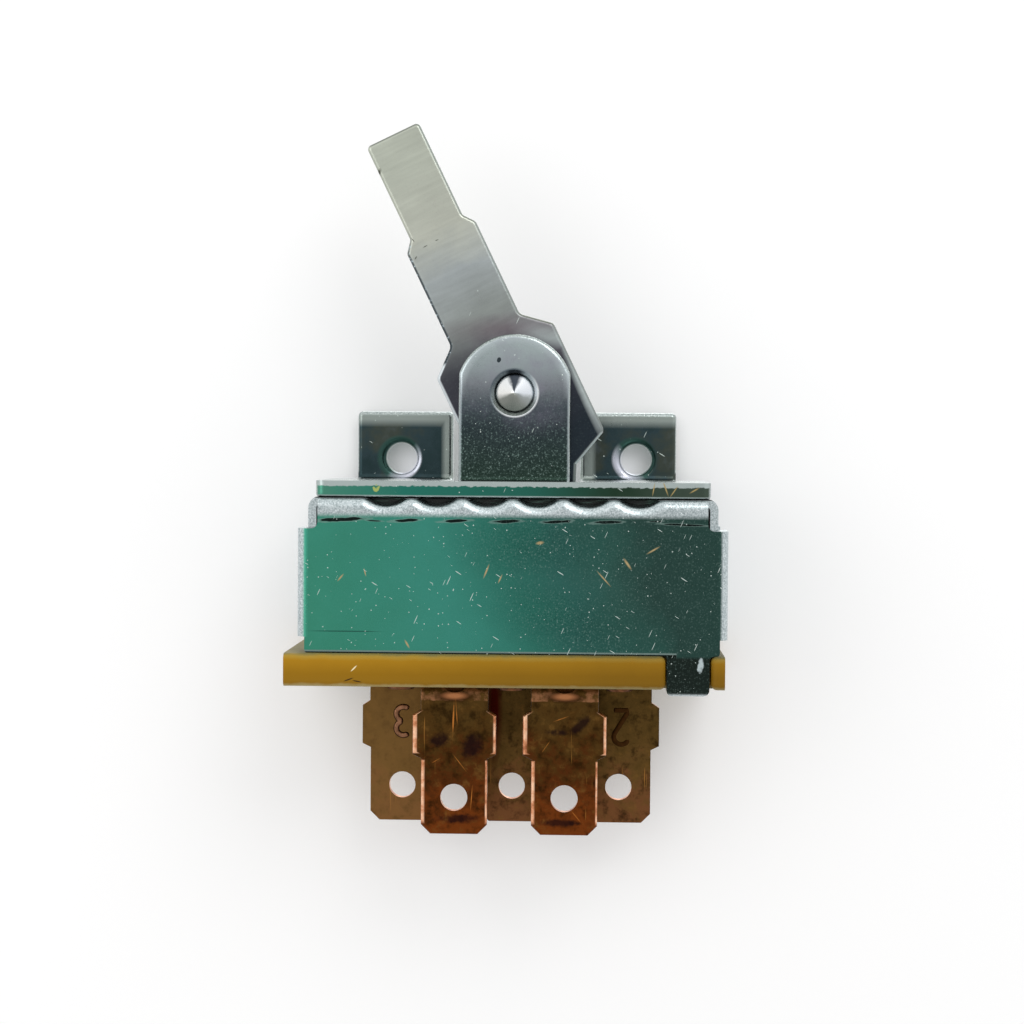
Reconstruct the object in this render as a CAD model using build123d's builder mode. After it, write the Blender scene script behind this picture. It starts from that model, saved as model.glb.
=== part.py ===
from build123d import *
import math
import os

# Lever blower switch: a stamped bracket with a pivoting lever on top of a folded steel housing.
# Origin: midway between the two mounting holes, on the back face of the mounting ears.
# +X is to the right, +Y is towards the back, +Z is up. All sizes are in millimetres.

# Mounting ears and bracket plate
hole_spacing = 23.8
hole_diameter = 3.1
hole_entry = 0.6
ear_width = 9.7
ear_gap = 12.85
ear_pair_shift = -0.2
ear_rise = 4.7
ear_corner = 0.5
ear_rim = 0.45
plate_drop = 2.1
plate_thickness = 1.5
plate_width = 37.15
plate_front_gap = 0.4
plate_corner = 0.8
bracket_bend = 0.5

# Pivot ear, lever and rivet
pivot_height = 6.3
pivot_ear_width = 10.6
pivot_ear_crown = 0.3
pivot_ear_setback = 3.4
pivot_ear_shoulder = 1.0
pivot_ear_rim = 0.4
plate_rim = 0.25
rivet_shank = 3.2
rivet_point = 3.45
rivet_point_rise = 1.0
rivet_point_edge = 0.2
rivet_seat = 4.4
rivet_seat_depth = 0.45
rivet_tail = 5.2
rivet_tail_height = 0.9
lever_fit = 0.05
lever_thickness = 1.5
lever_gap = 0.35
lever_lean = 25.8
lever_tip = 27.4
tip_width = 5.55
tip_length = 9.8
step_length = 1.1
arm_width = 7.3
shoulder_top = 6.7
shoulder_drop = 2.2
hub_width = 12.4
hub_bottom = 6.9
hub_corner = 0.6
tip_corner = 0.45
step_corner = 0.6
lever_rim = 0.35
shoulder_corner = 0.8
tail_top = 8.65
tail_top_width = 4.8
neck_top = 11.1
neck_width = 2.2
finger_diameter = 3.2
washer_diameter = 6.6
washer_thickness = 0.25
washer_bow = 0.55
washer_fit = 0.1

# Folded housing
sheet = 0.76
sheet_bend = 0.34
housing_depth = 19.0
housing_height = 14.7
end_wall_span = 38.6
front_wall_overhang = 0.2
detent_pitch = 4.7625
detent_hollows = 6
crest_radius = 1.5
hollow_radius = 2.9
corner_notch = 1.0
join_lap = 0.5
notch_height = 3.0
notch_root = 0.6
wall_corner = 0.3
wrap_gap = 0.2
wrap_length = 4.6
wrap_bottom = 1.5
crimp_width = 4.0
crimp_from_end = 0.75
crimp_leg = 2.6
crimp_root = 0.4
crimp_corner = 0.65
roof_slot_clearance = 0.35
roof_slot_half = 7.1
roof_slot_corner = 0.6

# Terminal board and terminals
board_side_overhang = 0.39
board_shift = -0.7
board_overhang_front = 1.0
board_overhang_back = 0.4
board_thickness = 3.1
board_round = 0.6
board_notch_fit = 0.15
seat_fit = 0.02
terminal_pitch = 10.6
terminal_shift = -0.3
front_row_columns = (-0.5, 0.5)
back_row_columns = (-1.03, 0, 1)
terminal_row_gap = 7.94
terminal_thickness = 0.8
terminal_bend = 0.4
neck_span = 6.5
neck_length = 2.75
wide_span = 8.0
wide_shoulder = 0.5
wide_length = 3.8
blade_width = 6.35
blade_shoulder = 0.4
terminal_length = 14.7
blade_chamfer = 0.9
blade_hole = 2.6
blade_hole_up = 3.55
blade_edge = 0.2
foot_radius = 2.3
foot_reach = 3.2
gusset_radius = 1.5
gusset_depth = 0.45
contact_shank = 2.4
contact_head = 3.6
contact_head_height = 0.6
contact_tail = 3.0
contact_tail_height = 0.5

# Carriage and what it carries
lever_throw_steps = 3
carriage_length = 20.0
carriage_corner = 1.0
carriage_chamfer = 0.4
carriage_side_gap = 0.14
carriage_top_gap = 0.35
carriage_floor_gap = 0.06
finger_side_gap = 0.25
finger_face_gap = 0.35
finger_depth_gap = 0.6
slot_mouth_drop = 2.5
recess_height = 3.7
recess_length = 17.0
recess_width = 8.0
contact_way_width = 7.0
contact_way_gap = 0.4
ball_diameter = 3.175
ball_gap = 0.06
ball_bore_fit = 0.12
ball_from_back = 6.0
ball_bore_depth = 7.8
spring_wire = 0.4
spring_coil = 2.4
spring_turns = 3
bridge_length = 15.6
bridge_width = 5.6
bridge_thickness = 0.6
bridge_gap = 0.08
bridge_nose = 1.2
bridge_lift = 0.7
leaf_thickness = 0.3
leaf_width = 3.6
leaf_length = 13.0

# Levels and faces worked out from the sizes above
plate_top = -plate_drop
plate_bottom = plate_top - plate_thickness
housing_bottom = plate_bottom - housing_height
board_bottom = housing_bottom - board_thickness
housing_front = -housing_depth
housing_middle = housing_front / 2
plate_front = housing_front + plate_front_gap
pivot_ear_radius = pivot_ear_width / 2 + pivot_ear_crown
pivot_ear_front = housing_front + pivot_ear_setback
lever_front = pivot_ear_front + plate_thickness + lever_gap
lever_back = lever_front + lever_thickness
outer_bend = sheet + sheet_bend
bracket_outer_bend = plate_thickness + bracket_bend
wave_angle = math.degrees(math.asin(detent_pitch / 2 / (crest_radius + hollow_radius)))
wave_depth = (crest_radius + hollow_radius) * (1 - math.cos(math.radians(wave_angle)))
inner_crest = plate_bottom - sheet
inner_hollow = inner_crest - wave_depth
throw = lever_throw_steps * detent_pitch
carriage_rest = throw / 2
finger_drop = carriage_rest / math.sin(math.radians(lever_lean))
crimp_far = end_wall_span / 2 - crimp_from_end
crimp_near = crimp_far - crimp_width
wrap_inner = end_wall_span / 2 + wrap_gap
wrap_outer = wrap_inner + sheet
board_width = 2 * (wrap_outer + board_side_overhang)
board_front = housing_front - board_overhang_front
board_middle = (board_front + board_overhang_back) / 2
front_row_face = board_middle - (terminal_row_gap + terminal_thickness) / 2
back_row_face = board_middle + (terminal_row_gap + terminal_thickness) / 2

os.makedirs("parts", exist_ok=True)


def export(builder, label):
    builder.part.label = label
    export_step(builder.part, f"parts/{label}.step")


def crown_middle(edge_radius, rise):
    """Point halfway out on a shallow dome: its distance from the axis and its drop from the top."""
    dome_radius = (edge_radius**2 + rise**2) / (2 * rise)
    out = edge_radius / 2
    return out, dome_radius - math.sqrt(dome_radius**2 - out**2)


def bent_up_section(plane, back, top):
    """Side view of plate that turns up in a bend and ends at height top, with its back face at back."""
    bend_start = back - bracket_outer_bend
    inner = back - plate_thickness
    low = plate_bottom + bracket_outer_bend
    turn = math.sqrt(0.5)
    centre = (bend_start, low)
    with BuildSketch(plane) as section:
        with BuildLine():
            Line((bend_start, plate_bottom), (bend_start, plate_top))
            ThreePointArc(
                (bend_start, plate_top),
                (centre[0] + turn * bracket_bend, centre[1] - turn * bracket_bend),
                (inner, low),
            )
            Polyline((inner, low), (inner, top), (back, top), (back, low))
            ThreePointArc(
                (back, low),
                (centre[0] + turn * bracket_outer_bend, centre[1] - turn * bracket_outer_bend),
                (bend_start, plate_bottom),
            )
        make_face()
    return section.sketch


# Bracket: plate, two mounting ears bent up at the back and the pivot ear lanced up behind the front edge
pivot_ear_back = pivot_ear_front + plate_thickness
pivot_bend_start = pivot_ear_back - bracket_outer_bend
ears_bend_start = -bracket_outer_bend
ear_inner = (ear_pair_shift - ear_gap / 2, ear_pair_shift + ear_gap / 2)
ear_middles = (ear_inner[0] - ear_width / 2, ear_inner[1] + ear_width / 2)
shoulder_height = math.sqrt(pivot_ear_radius**2 - (pivot_ear_width / 2) ** 2)
with BuildPart() as bracket:
    with BuildSketch(Plane.XY.offset(plate_bottom)):
        with Locations((0, (plate_front + ears_bend_start) / 2)):
            Rectangle(plate_width, ears_bend_start - plate_front)
        fillet(vertices().group_by(Axis.Y)[0], plate_corner)
        with Locations((ear_pair_shift, (pivot_bend_start + ears_bend_start) / 2)):
            Rectangle(ear_gap, ears_bend_start - pivot_bend_start, mode=Mode.SUBTRACT)
    extrude(amount=plate_thickness)
    for middle in ear_middles:
        ear_side = Plane.YZ.offset(middle - ear_width / 2)
        extrude(bent_up_section(ear_side, 0, ear_rise), amount=ear_width)
    pivot_side = Plane.YZ.offset(-pivot_ear_width / 2)
    extrude(bent_up_section(pivot_side, pivot_ear_back, pivot_height), amount=pivot_ear_width)
    with BuildSketch(Plane.XZ.offset(-pivot_ear_front)):
        half = pivot_ear_width / 2
        shoulder = pivot_height + shoulder_height
        with BuildLine():
            Polyline((-half, shoulder), (-half, pivot_height), (half, pivot_height), (half, shoulder))
            ThreePointArc((half, shoulder), (0, pivot_height + pivot_ear_radius), (-half, shoulder))
        make_face()
        fillet(vertices().group_by(Axis.Y)[-1], pivot_ear_shoulder)
    extrude(amount=-plate_thickness)
    for x in (-hole_spacing / 2, hole_spacing / 2):
        with Locations(Plane((x, -plate_thickness, 0), z_dir=(0, -1, 0))):
            Hole(hole_diameter / 2, depth=plate_thickness)
    with Locations(Plane((0, pivot_ear_front, pivot_height), z_dir=(0, -1, 0))):
        CounterSinkHole(
            rivet_shank / 2 + seat_fit, rivet_seat / 2, depth=plate_thickness, counter_sink_angle=90
        )
    entry_edges = (
        edges()
        .filter_by(GeomType.CIRCLE)
        .filter_by(lambda edge: abs(edge.radius - hole_diameter / 2) < 0.01)
        .filter_by(lambda edge: abs(edge.center().Y + plate_thickness) < 0.01)
    )
    fillet(entry_edges, hole_entry)
    ear_top_corners = (
        edges()
        .filter_by(Axis.Y)
        .filter_by(lambda edge: abs(edge.center().Z - ear_rise) < 0.01)
    )
    fillet(ear_top_corners, ear_corner)
    pivot_face = (
        faces()
        .filter_by(Axis.Y)
        .filter_by(lambda face: abs(face.center().Y - pivot_ear_front) < 0.01)[0]
    )
    pivot_outline = pivot_face.outer_wire().edges()
    fillet(pivot_outline.filter_by(lambda edge: edge.center().Z > 0), pivot_ear_rim)
    ear_fronts = (
        faces()
        .filter_by(Axis.Y)
        .filter_by(lambda face: abs(face.center().Y + plate_thickness) < 0.01)
    )
    for ear_front in ear_fronts:
        ear_outline = ear_front.outer_wire().edges()
        fillet(ear_outline.filter_by(lambda edge: edge.center().Z > plate_top + 2 * bracket_bend), ear_rim)
    plate_outline = (
        faces().filter_by(Axis.Z).sort_by(Axis.Z)[0].outer_wire().edges()
        .filter_by(lambda edge: edge.center().Y < ears_bend_start - plate_rim)
    )
    fillet(plate_outline, plate_rim)
export(bracket, "mounting_bracket")


# Lever: one stamping, leaning to the left at rest, drawn in its own frame with the pivot at its origin
lean = math.radians(lever_lean)
lever_plane = Plane(
    (0, lever_front, pivot_height), x_dir=(math.cos(lean), 0, math.sin(lean)), z_dir=(0, -1, 0)
)
step_top = lever_tip - tip_length
lever_side = [
    (tip_width / 2, lever_tip),
    (tip_width / 2, step_top),
    (arm_width / 2, step_top - step_length),
    (arm_width / 2, shoulder_top),
    (hub_width / 2, shoulder_top - shoulder_drop),
    (hub_width / 2, -hub_bottom),
    (tail_top_width / 2, -tail_top),
    (neck_width / 2, -neck_top),
    (neck_width / 2, -finger_drop),
]
with BuildPart() as lever:
    with BuildSketch(lever_plane):
        with BuildLine():
            Polyline(*lever_side, *((-u, v) for u, v in reversed(lever_side)), close=True)
        make_face()
        fillet(vertices().filter_by(lambda corner: abs(corner.X) > hub_width / 2 - 0.01), hub_corner)
        fillet(vertices().filter_by(lambda corner: corner.Y > lever_tip - 0.01), tip_corner)
        fillet(vertices().filter_by(lambda corner: abs(corner.Y - shoulder_top) < 0.01), shoulder_corner)
        step_corners = vertices().filter_by(lambda corner: abs(corner.Y - step_top) < step_length + 0.01)
        fillet(step_corners, step_corner)
        with Locations((0, -finger_drop)):
            Circle(finger_diameter / 2)
        Circle(rivet_shank / 2 + lever_fit, mode=Mode.SUBTRACT)
    extrude(amount=-lever_thickness)
    fillet(faces().filter_by(Axis.Y).sort_by(Axis.Y)[0].outer_wire().edges(), lever_rim)
export(lever, "lever")

# Pivot rivet: pointed end in the seat of the ear, shank through ear and lever, domed head behind
head_start = lever_back + washer_bow
with BuildPart() as pivot_rivet:
    with BuildSketch(Plane.YZ):
        with BuildLine():
            seat = pivot_ear_front + rivet_seat_depth
            shank = rivet_shank / 2
            tail = rivet_tail / 2
            head_top = head_start + rivet_tail_height
            crown_out, crown_drop = crown_middle(tail, rivet_tail_height)
            Polyline(
                (pivot_ear_front - rivet_point_rise, pivot_height),
                (seat - rivet_point_edge, pivot_height + rivet_point / 2),
                (seat, pivot_height + shank),
                (head_start, pivot_height + shank),
                (head_start, pivot_height + tail),
            )
            ThreePointArc(
                (head_start, pivot_height + tail),
                (head_top - crown_drop, pivot_height + crown_out),
                (head_top, pivot_height),
            )
            Line(
                (head_top, pivot_height),
                (pivot_ear_front - rivet_point_rise, pivot_height),
            )
        make_face()
    revolve(axis=Axis((0, 0, pivot_height), (0, 1, 0)))
export(pivot_rivet, "pivot_rivet")

# Bowed washer: a flat ring pressed into an arch, which keeps the lever from rattling
with BuildPart() as bowed_washer:
    arch_half = washer_diameter / 2
    arch_rise = washer_bow - washer_thickness - 2 * lever_fit
    arch_low = lever_back + lever_fit
    with BuildSketch(Plane.XY.offset(pivot_height - arch_half)):
        with BuildLine():
            ThreePointArc((-arch_half, arch_low), (0, arch_low + arch_rise), (arch_half, arch_low))
            Line((arch_half, arch_low), (arch_half, arch_low + washer_thickness))
            ThreePointArc(
                (arch_half, arch_low + washer_thickness),
                (0, arch_low + arch_rise + washer_thickness),
                (-arch_half, arch_low + washer_thickness),
            )
            Line((-arch_half, arch_low + washer_thickness), (-arch_half, arch_low))
        make_face()
    extrude(amount=washer_diameter)
    with BuildSketch(Plane.XZ.offset(-lever_back)):
        with Locations((0, pivot_height)):
            Circle(arch_half)
            Circle(rivet_shank / 2 + washer_fit, mode=Mode.SUBTRACT)
    extrude(amount=-2 * washer_bow, mode=Mode.INTERSECT)
export(bowed_washer, "bowed_washer")


def wavy_block(half_length, inset, bend):
    """Block under a roof of detent waves, inset from the outer skin of the housing.

    The roof line is arcs about fixed centres, so an inset takes the sheet off a crest's
    radius and adds it to a hollow's, which keeps the two skins one sheet apart.
    """
    crest = plate_bottom - inset
    crest_centre = plate_bottom - crest_radius
    spread = crest_radius + hollow_radius
    hollow_centre = crest_centre + spread * math.cos(math.radians(wave_angle))
    crest_arc = crest_radius - inset
    hollow_arc = hollow_radius + inset
    wave_half = detent_hollows / 2 * detent_pitch
    low = housing_bottom - sheet
    with BuildPart() as block:
        with BuildSketch(Plane.XZ.offset(-(housing_front + inset))):
            with BuildLine():
                Line((-half_length, crest), (-wave_half, crest))
                CenterArc((-wave_half, crest_centre), crest_arc, 90, -wave_angle)
                for hollow in range(detent_hollows):
                    x = -wave_half + (hollow + 0.5) * detent_pitch
                    CenterArc((x, hollow_centre), hollow_arc, 270 - wave_angle, 2 * wave_angle)
                    if hollow < detent_hollows - 1:
                        next_crest = x + detent_pitch / 2
                        CenterArc((next_crest, crest_centre), crest_arc, 90 + wave_angle, -2 * wave_angle)
                CenterArc((wave_half, crest_centre), crest_arc, 90 + wave_angle, -wave_angle)
                Polyline(
                    (wave_half, crest),
                    (half_length, crest),
                    (half_length, low),
                    (-half_length, low),
                    (-half_length, crest),
                )
            make_face()
        extrude(amount=-(housing_depth - 2 * inset))
        long_edges = (
            faces().filter_by(Axis.Y).edges()
            .filter_by(lambda edge: edge.center().Z > inner_hollow - sheet)
        )
        fillet(long_edges.filter_by(lambda edge: abs(edge.center().X) < half_length - 0.01), bend)
    return block.part


def quarter_bend(centre, radius, start, end):
    """Arc of a bend from start to end about its centre, both ends along the axes."""
    middle = (
        centre[0] + math.sqrt(0.5) * radius * math.copysign(1, start[0] + end[0] - 2 * centre[0]),
        centre[1] + math.sqrt(0.5) * radius * math.copysign(1, start[1] + end[1] - 2 * centre[1]),
    )
    return ThreePointArc(start, middle, end)


def corners_at(short_edges, distances, height):
    """Those of the edges that stand at one of the distances from the middle, at that height."""
    return [
        edge for edge in short_edges
        if abs(edge.center().Z - height) < 0.01
        and min(abs(abs(edge.center().X) - distance) for distance in distances) < 0.01
    ]


def crimp_tab(turn):
    """Tab clinched under the board: turn 1 hangs it from the front right, -1 from the back left."""
    front = housing_middle - turn * housing_depth / 2
    inner = front + turn * sheet
    leg_end = front + turn * crimp_leg
    leg_bottom = board_bottom - sheet
    bend_top = board_bottom + sheet_bend
    centre = (front + turn * outer_bend, bend_top)
    with BuildPart() as tab:
        with BuildSketch(Plane.YZ.offset(turn * crimp_near)):
            with BuildLine():
                Polyline(
                    (front, bend_top),
                    (front, housing_bottom + sheet),
                    (inner, housing_bottom + sheet),
                    (inner, bend_top),
                )
                quarter_bend(centre, sheet_bend, (inner, bend_top), (centre[0], board_bottom))
                Polyline(
                    (centre[0], board_bottom),
                    (leg_end, board_bottom),
                    (leg_end, leg_bottom),
                    (centre[0], leg_bottom),
                )
                quarter_bend(centre, outer_bend, (centre[0], leg_bottom), (front, bend_top))
            make_face()
        extrude(amount=turn * crimp_width)
        with BuildSketch(Plane.XZ.offset(-front)):
            with Locations((turn * (crimp_near + crimp_far) / 2, leg_bottom)):
                Rectangle(crimp_width, 2 * housing_height, align=(Align.CENTER, Align.MIN))
            fillet(vertices().group_by(Axis.Y)[0], crimp_corner)
        extrude(amount=-turn * housing_depth, mode=Mode.INTERSECT)
    return tab.part


# Housing: detent roof, front and back walls, end walls, and side tabs wrapped round the end walls
notch_x = end_wall_span / 2 - corner_notch
end_outer = end_wall_span / 2
end_inner = end_outer - sheet
wrap_low = housing_bottom + wrap_bottom
wrap_top = plate_bottom - notch_height
wall_half = end_outer + front_wall_overhang
with BuildPart() as housing:
    add(wavy_block(notch_x, 0, outer_bend))
    add(wavy_block(end_outer, sheet, sheet_bend), mode=Mode.SUBTRACT)
    split(bisect_by=Plane.XY.offset(housing_bottom), keep=Keep.TOP)
    for side in (-1, 1):
        corner = end_outer - outer_bend
        low_corner = plate_bottom - outer_bend
        with BuildSketch(Plane.XZ.offset(-(housing_front + outer_bend))):
            with BuildLine():
                Polyline(
                    (side * corner, plate_bottom),
                    (side * (notch_x - join_lap), plate_bottom),
                    (side * (notch_x - join_lap), inner_crest),
                    (side * corner, inner_crest),
                )
                quarter_bend(
                    (side * corner, low_corner),
                    sheet_bend,
                    (side * corner, inner_crest),
                    (side * end_inner, low_corner),
                )
                Polyline(
                    (side * end_inner, low_corner),
                    (side * end_inner, housing_bottom),
                    (side * end_outer, housing_bottom),
                    (side * end_outer, low_corner),
                )
                quarter_bend(
                    (side * corner, low_corner),
                    outer_bend,
                    (side * end_outer, low_corner),
                    (side * corner, plate_bottom),
                )
            make_face()
        extrude(amount=-(housing_depth - 2 * outer_bend))
        for face in (-1, 1):
            front = housing_middle + face * housing_depth / 2
            inner = front - face * sheet
            bend_y = front - face * outer_bend
            bend_x = wrap_outer - outer_bend
            wrap_end = front - face * wrap_length
            with BuildSketch(Plane.XY.offset(wrap_low)):
                with BuildLine():
                    Polyline(
                        (side * bend_x, front),
                        (side * (notch_x - join_lap), front),
                        (side * (notch_x - join_lap), inner),
                        (side * bend_x, inner),
                    )
                    quarter_bend(
                        (side * bend_x, bend_y),
                        sheet_bend,
                        (side * bend_x, inner),
                        (side * wrap_inner, bend_y),
                    )
                    Polyline(
                        (side * wrap_inner, bend_y),
                        (side * wrap_inner, wrap_end),
                        (side * wrap_outer, wrap_end),
                        (side * wrap_outer, bend_y),
                    )
                    quarter_bend(
                        (side * bend_x, bend_y),
                        outer_bend,
                        (side * wrap_outer, bend_y),
                        (side * bend_x, front),
                    )
                make_face()
            extrude(amount=wrap_top - wrap_low)
            with BuildSketch(Plane.XY.offset(housing_bottom)):
                with Locations((side * (notch_x - join_lap + wall_half) / 2, (front + inner) / 2)):
                    Rectangle(wall_half - notch_x + join_lap, sheet)
            extrude(amount=wrap_bottom)
    for turn in (1, -1):
        add(crimp_tab(turn))
    across_sheet = edges().filter_by(Axis.Y).filter_by(lambda edge: edge.length < 2 * sheet)
    fillet(corners_at(across_sheet, (crimp_near, crimp_far), housing_bottom), crimp_root)
    fillet(corners_at(across_sheet, [notch_x], wrap_top), notch_root)
    fillet(corners_at(across_sheet, [wall_half], housing_bottom), wall_corner)
    with BuildSketch(Plane.XY.offset(plate_bottom)):
        slot_half = lever_thickness / 2 + roof_slot_clearance
        with Locations((0, (lever_front + lever_back) / 2)):
            RectangleRounded(2 * roof_slot_half, 2 * slot_half, roof_slot_corner)
    extrude(amount=-(wave_depth + 2 * sheet), mode=Mode.SUBTRACT)
export(housing, "housing")


# Terminal board: laminate plate under the housing, notched for the two crimp tabs
contact_spots = []
for column in front_row_columns:
    contact_spots.append((terminal_shift + column * terminal_pitch, front_row_face, 1))
for column in back_row_columns:
    contact_spots.append((terminal_shift + column * terminal_pitch, back_row_face, -1))
with BuildPart() as terminal_board:
    board_depth = board_overhang_back - board_front
    with BuildSketch(Plane.XY.offset(board_bottom)):
        with Locations((board_shift, board_middle)):
            Rectangle(board_width, board_depth)
    extrude(amount=board_thickness)
    fillet(edges().filter_by(Axis.X), board_round)
    with BuildSketch(Plane.XY.offset(board_bottom)):
        for turn in (1, -1):
            wall_inner = housing_middle - turn * (housing_depth / 2 - outer_bend - seat_fit)
            outside = housing_middle - turn * housing_depth
            with Locations((turn * (crimp_near + crimp_far) / 2, (wall_inner + outside) / 2)):
                Rectangle(crimp_width + 2 * board_notch_fit, abs(outside - wall_inner))
    extrude(amount=board_thickness, mode=Mode.SUBTRACT)
    notch_corners = (
        edges()
        .filter_by(Axis.Y)
        .filter_by(lambda edge: abs(edge.center().Z - housing_bottom) < 0.01)
        .filter_by(lambda edge: abs(edge.center().X) < crimp_far + 2 * board_notch_fit)
    )
    fillet(notch_corners, crimp_root + board_notch_fit)
    with BuildSketch(Plane.XY.offset(board_bottom)):
        for x, face, inward in contact_spots:
            with Locations((x, face + inward * foot_reach)):
                Circle(contact_shank / 2 + seat_fit)
    extrude(amount=board_thickness, mode=Mode.SUBTRACT)
export(terminal_board, "terminal_board")


def make_terminal(x, face, inward):
    """One blade terminal hanging from the board, its foot turned inward under the board."""
    corner = Plane((x, face, board_bottom), x_dir=(inward, 0, 0), z_dir=(0, 0, 1))
    blade_plane = Plane(corner.origin, x_dir=corner.x_dir, z_dir=-corner.y_dir)
    side_plane = Plane(corner.origin, x_dir=corner.y_dir, z_dir=corner.x_dir)
    outer = terminal_thickness + terminal_bend
    wide_top = -neck_length - wide_shoulder
    wide_low = wide_top - wide_length
    half_outline = [
        (neck_span / 2, -outer),
        (neck_span / 2, -neck_length),
        (wide_span / 2, wide_top),
        (wide_span / 2, wide_low),
        (blade_width / 2, wide_low - blade_shoulder),
        (blade_width / 2, -terminal_length + blade_chamfer),
        (blade_width / 2 - blade_chamfer, -terminal_length),
    ]
    reach = outer + gusset_radius - gusset_depth
    dent = corner.from_local_coords(
        (0, outer - reach * math.sqrt(0.5), -outer + reach * math.sqrt(0.5))
    )
    gusset = Pos(*dent) * Sphere(gusset_radius + terminal_thickness)
    corner_room = corner.location * Pos(0, terminal_thickness, -terminal_thickness) * Box(
        neck_span, 2 * outer, 2 * outer, align=(Align.CENTER, Align.MIN, Align.MAX)
    )
    with BuildPart() as terminal:
        with BuildSketch(blade_plane):
            with BuildLine():
                Polyline(*half_outline, *((-u, v) for u, v in reversed(half_outline)), close=True)
            make_face()
            with Locations((0, -terminal_length + blade_hole_up)):
                Circle(blade_hole / 2, mode=Mode.SUBTRACT)
        extrude(amount=-terminal_thickness)
        with BuildSketch(side_plane.offset(-neck_span / 2)):
            with Locations((outer, -outer)):
                Circle(outer)
                Circle(terminal_bend, mode=Mode.SUBTRACT)
                Rectangle(outer, outer, align=(Align.MAX, Align.MIN), mode=Mode.INTERSECT)
        extrude(amount=neck_span)
        with BuildSketch(corner):
            with BuildLine():
                Line((-neck_span / 2, outer), (neck_span / 2, outer))
            with Locations((0, foot_reach)):
                Circle(foot_radius)
            make_hull()
            with Locations((0, foot_reach)):
                Circle(contact_shank / 2 + seat_fit, mode=Mode.SUBTRACT)
        extrude(amount=-terminal_thickness)
        add(gusset & corner_room)
        with Locations(Pos(*dent)):
            Sphere(gusset_radius, mode=Mode.SUBTRACT)
        outward = faces().filter_by(Axis.Y).filter_by(lambda flat: abs(flat.center().Y - face) < 0.01)
        rim = outward.sort_by(SortBy.AREA)[-1].outer_wire().edges()
        fillet(rim.filter_by(lambda edge: edge.center().Z < board_bottom - outer - 0.01), blade_edge)
    return terminal


# Five terminals: two in the front row, three in the back row half a pitch across
for number, (x, face, inward) in enumerate(contact_spots, start=1):
    export(make_terminal(x, face, inward), f"terminal_{number}")


def make_contact(x, y):
    """Silver-faced rivet: round contact inside, shank through board and foot, tail below."""
    foot_bottom = board_bottom - terminal_thickness
    with BuildPart() as contact:
        with BuildSketch(Plane((x, y, 0), x_dir=(1, 0, 0), z_dir=(0, -1, 0))):
            head = contact_head / 2
            shank = contact_shank / 2
            tail = contact_tail / 2
            head_top = housing_bottom + contact_head_height
            crown_out, crown_drop = crown_middle(head, contact_head_height / 2)
            with BuildLine():
                Polyline(
                    (0, foot_bottom - contact_tail_height),
                    (tail - contact_tail_height / 2, foot_bottom - contact_tail_height),
                    (tail, foot_bottom - contact_tail_height / 2),
                    (tail, foot_bottom),
                    (shank, foot_bottom),
                    (shank, housing_bottom),
                    (head, housing_bottom),
                    (head, housing_bottom + contact_head_height / 2),
                )
                ThreePointArc(
                    (head, housing_bottom + contact_head_height / 2),
                    (crown_out, head_top - crown_drop),
                    (0, head_top),
                )
                Line(
                    (0, head_top),
                    (0, foot_bottom - contact_tail_height),
                )
            make_face()
        revolve(axis=Axis((x, y, 0), (0, 0, 1)))
    return contact


# Five contact rivets, one through each terminal's foot
for number, (x, face, inward) in enumerate(contact_spots, start=1):
    export(make_contact(x, face + inward * foot_reach), f"contact_rivet_{number}")

# Carriage: moulded slide that the lever's finger drives from one end of the housing to the other
carriage_floor = housing_bottom + carriage_floor_gap
carriage_top = inner_hollow - carriage_top_gap
carriage_width = housing_depth - 2 * sheet - 2 * carriage_side_gap
finger_centre = pivot_height - finger_drop
finger_low = finger_centre - finger_diameter / 2 - finger_depth_gap
slot_half = finger_diameter / 2 + finger_side_gap
mouth_start = carriage_top - slot_mouth_drop
recess_top = carriage_floor + recess_height
ball_y = -ball_from_back
ball_offsets = (-detent_pitch / 2, detent_pitch / 2)
bore_bottom = carriage_top - ball_bore_depth
with BuildPart() as carriage:
    with BuildSketch(Plane.XY.offset(carriage_floor)):
        with Locations((carriage_rest, housing_middle)):
            RectangleRounded(carriage_length, carriage_width, carriage_corner)
    extrude(amount=carriage_top - carriage_floor)
    chamfer(faces().sort_by(Axis.Z)[-1].edges(), carriage_chamfer)
    with BuildSketch(Plane.XZ.offset(-(lever_front - finger_face_gap))):
        with BuildLine():
            mouth = slot_half + slot_mouth_drop
            Polyline(
                (carriage_rest - slot_half, finger_low),
                (carriage_rest + slot_half, finger_low),
                (carriage_rest + slot_half, mouth_start),
                (carriage_rest + mouth, carriage_top),
                (carriage_rest - mouth, carriage_top),
                (carriage_rest - slot_half, mouth_start),
                close=True,
            )
        make_face()
    extrude(amount=-(lever_thickness + 2 * finger_face_gap), mode=Mode.SUBTRACT)
    with BuildSketch(Plane.XY.offset(carriage_top)):
        for shift in ball_offsets:
            with Locations((carriage_rest + shift, ball_y)):
                Circle(ball_diameter / 2 + ball_bore_fit)
    extrude(amount=-ball_bore_depth, mode=Mode.SUBTRACT)
    with BuildSketch(Plane.XY.offset(carriage_floor)):
        with Locations((carriage_rest, board_middle)):
            Rectangle(2 * carriage_length, contact_way_width)
    extrude(amount=contact_head_height + contact_way_gap, mode=Mode.SUBTRACT)
    with BuildSketch(Plane.XY.offset(carriage_floor)):
        with Locations((carriage_rest, board_middle)):
            Rectangle(recess_length, recess_width)
    extrude(amount=recess_height, mode=Mode.SUBTRACT)
export(carriage, "carriage")

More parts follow.
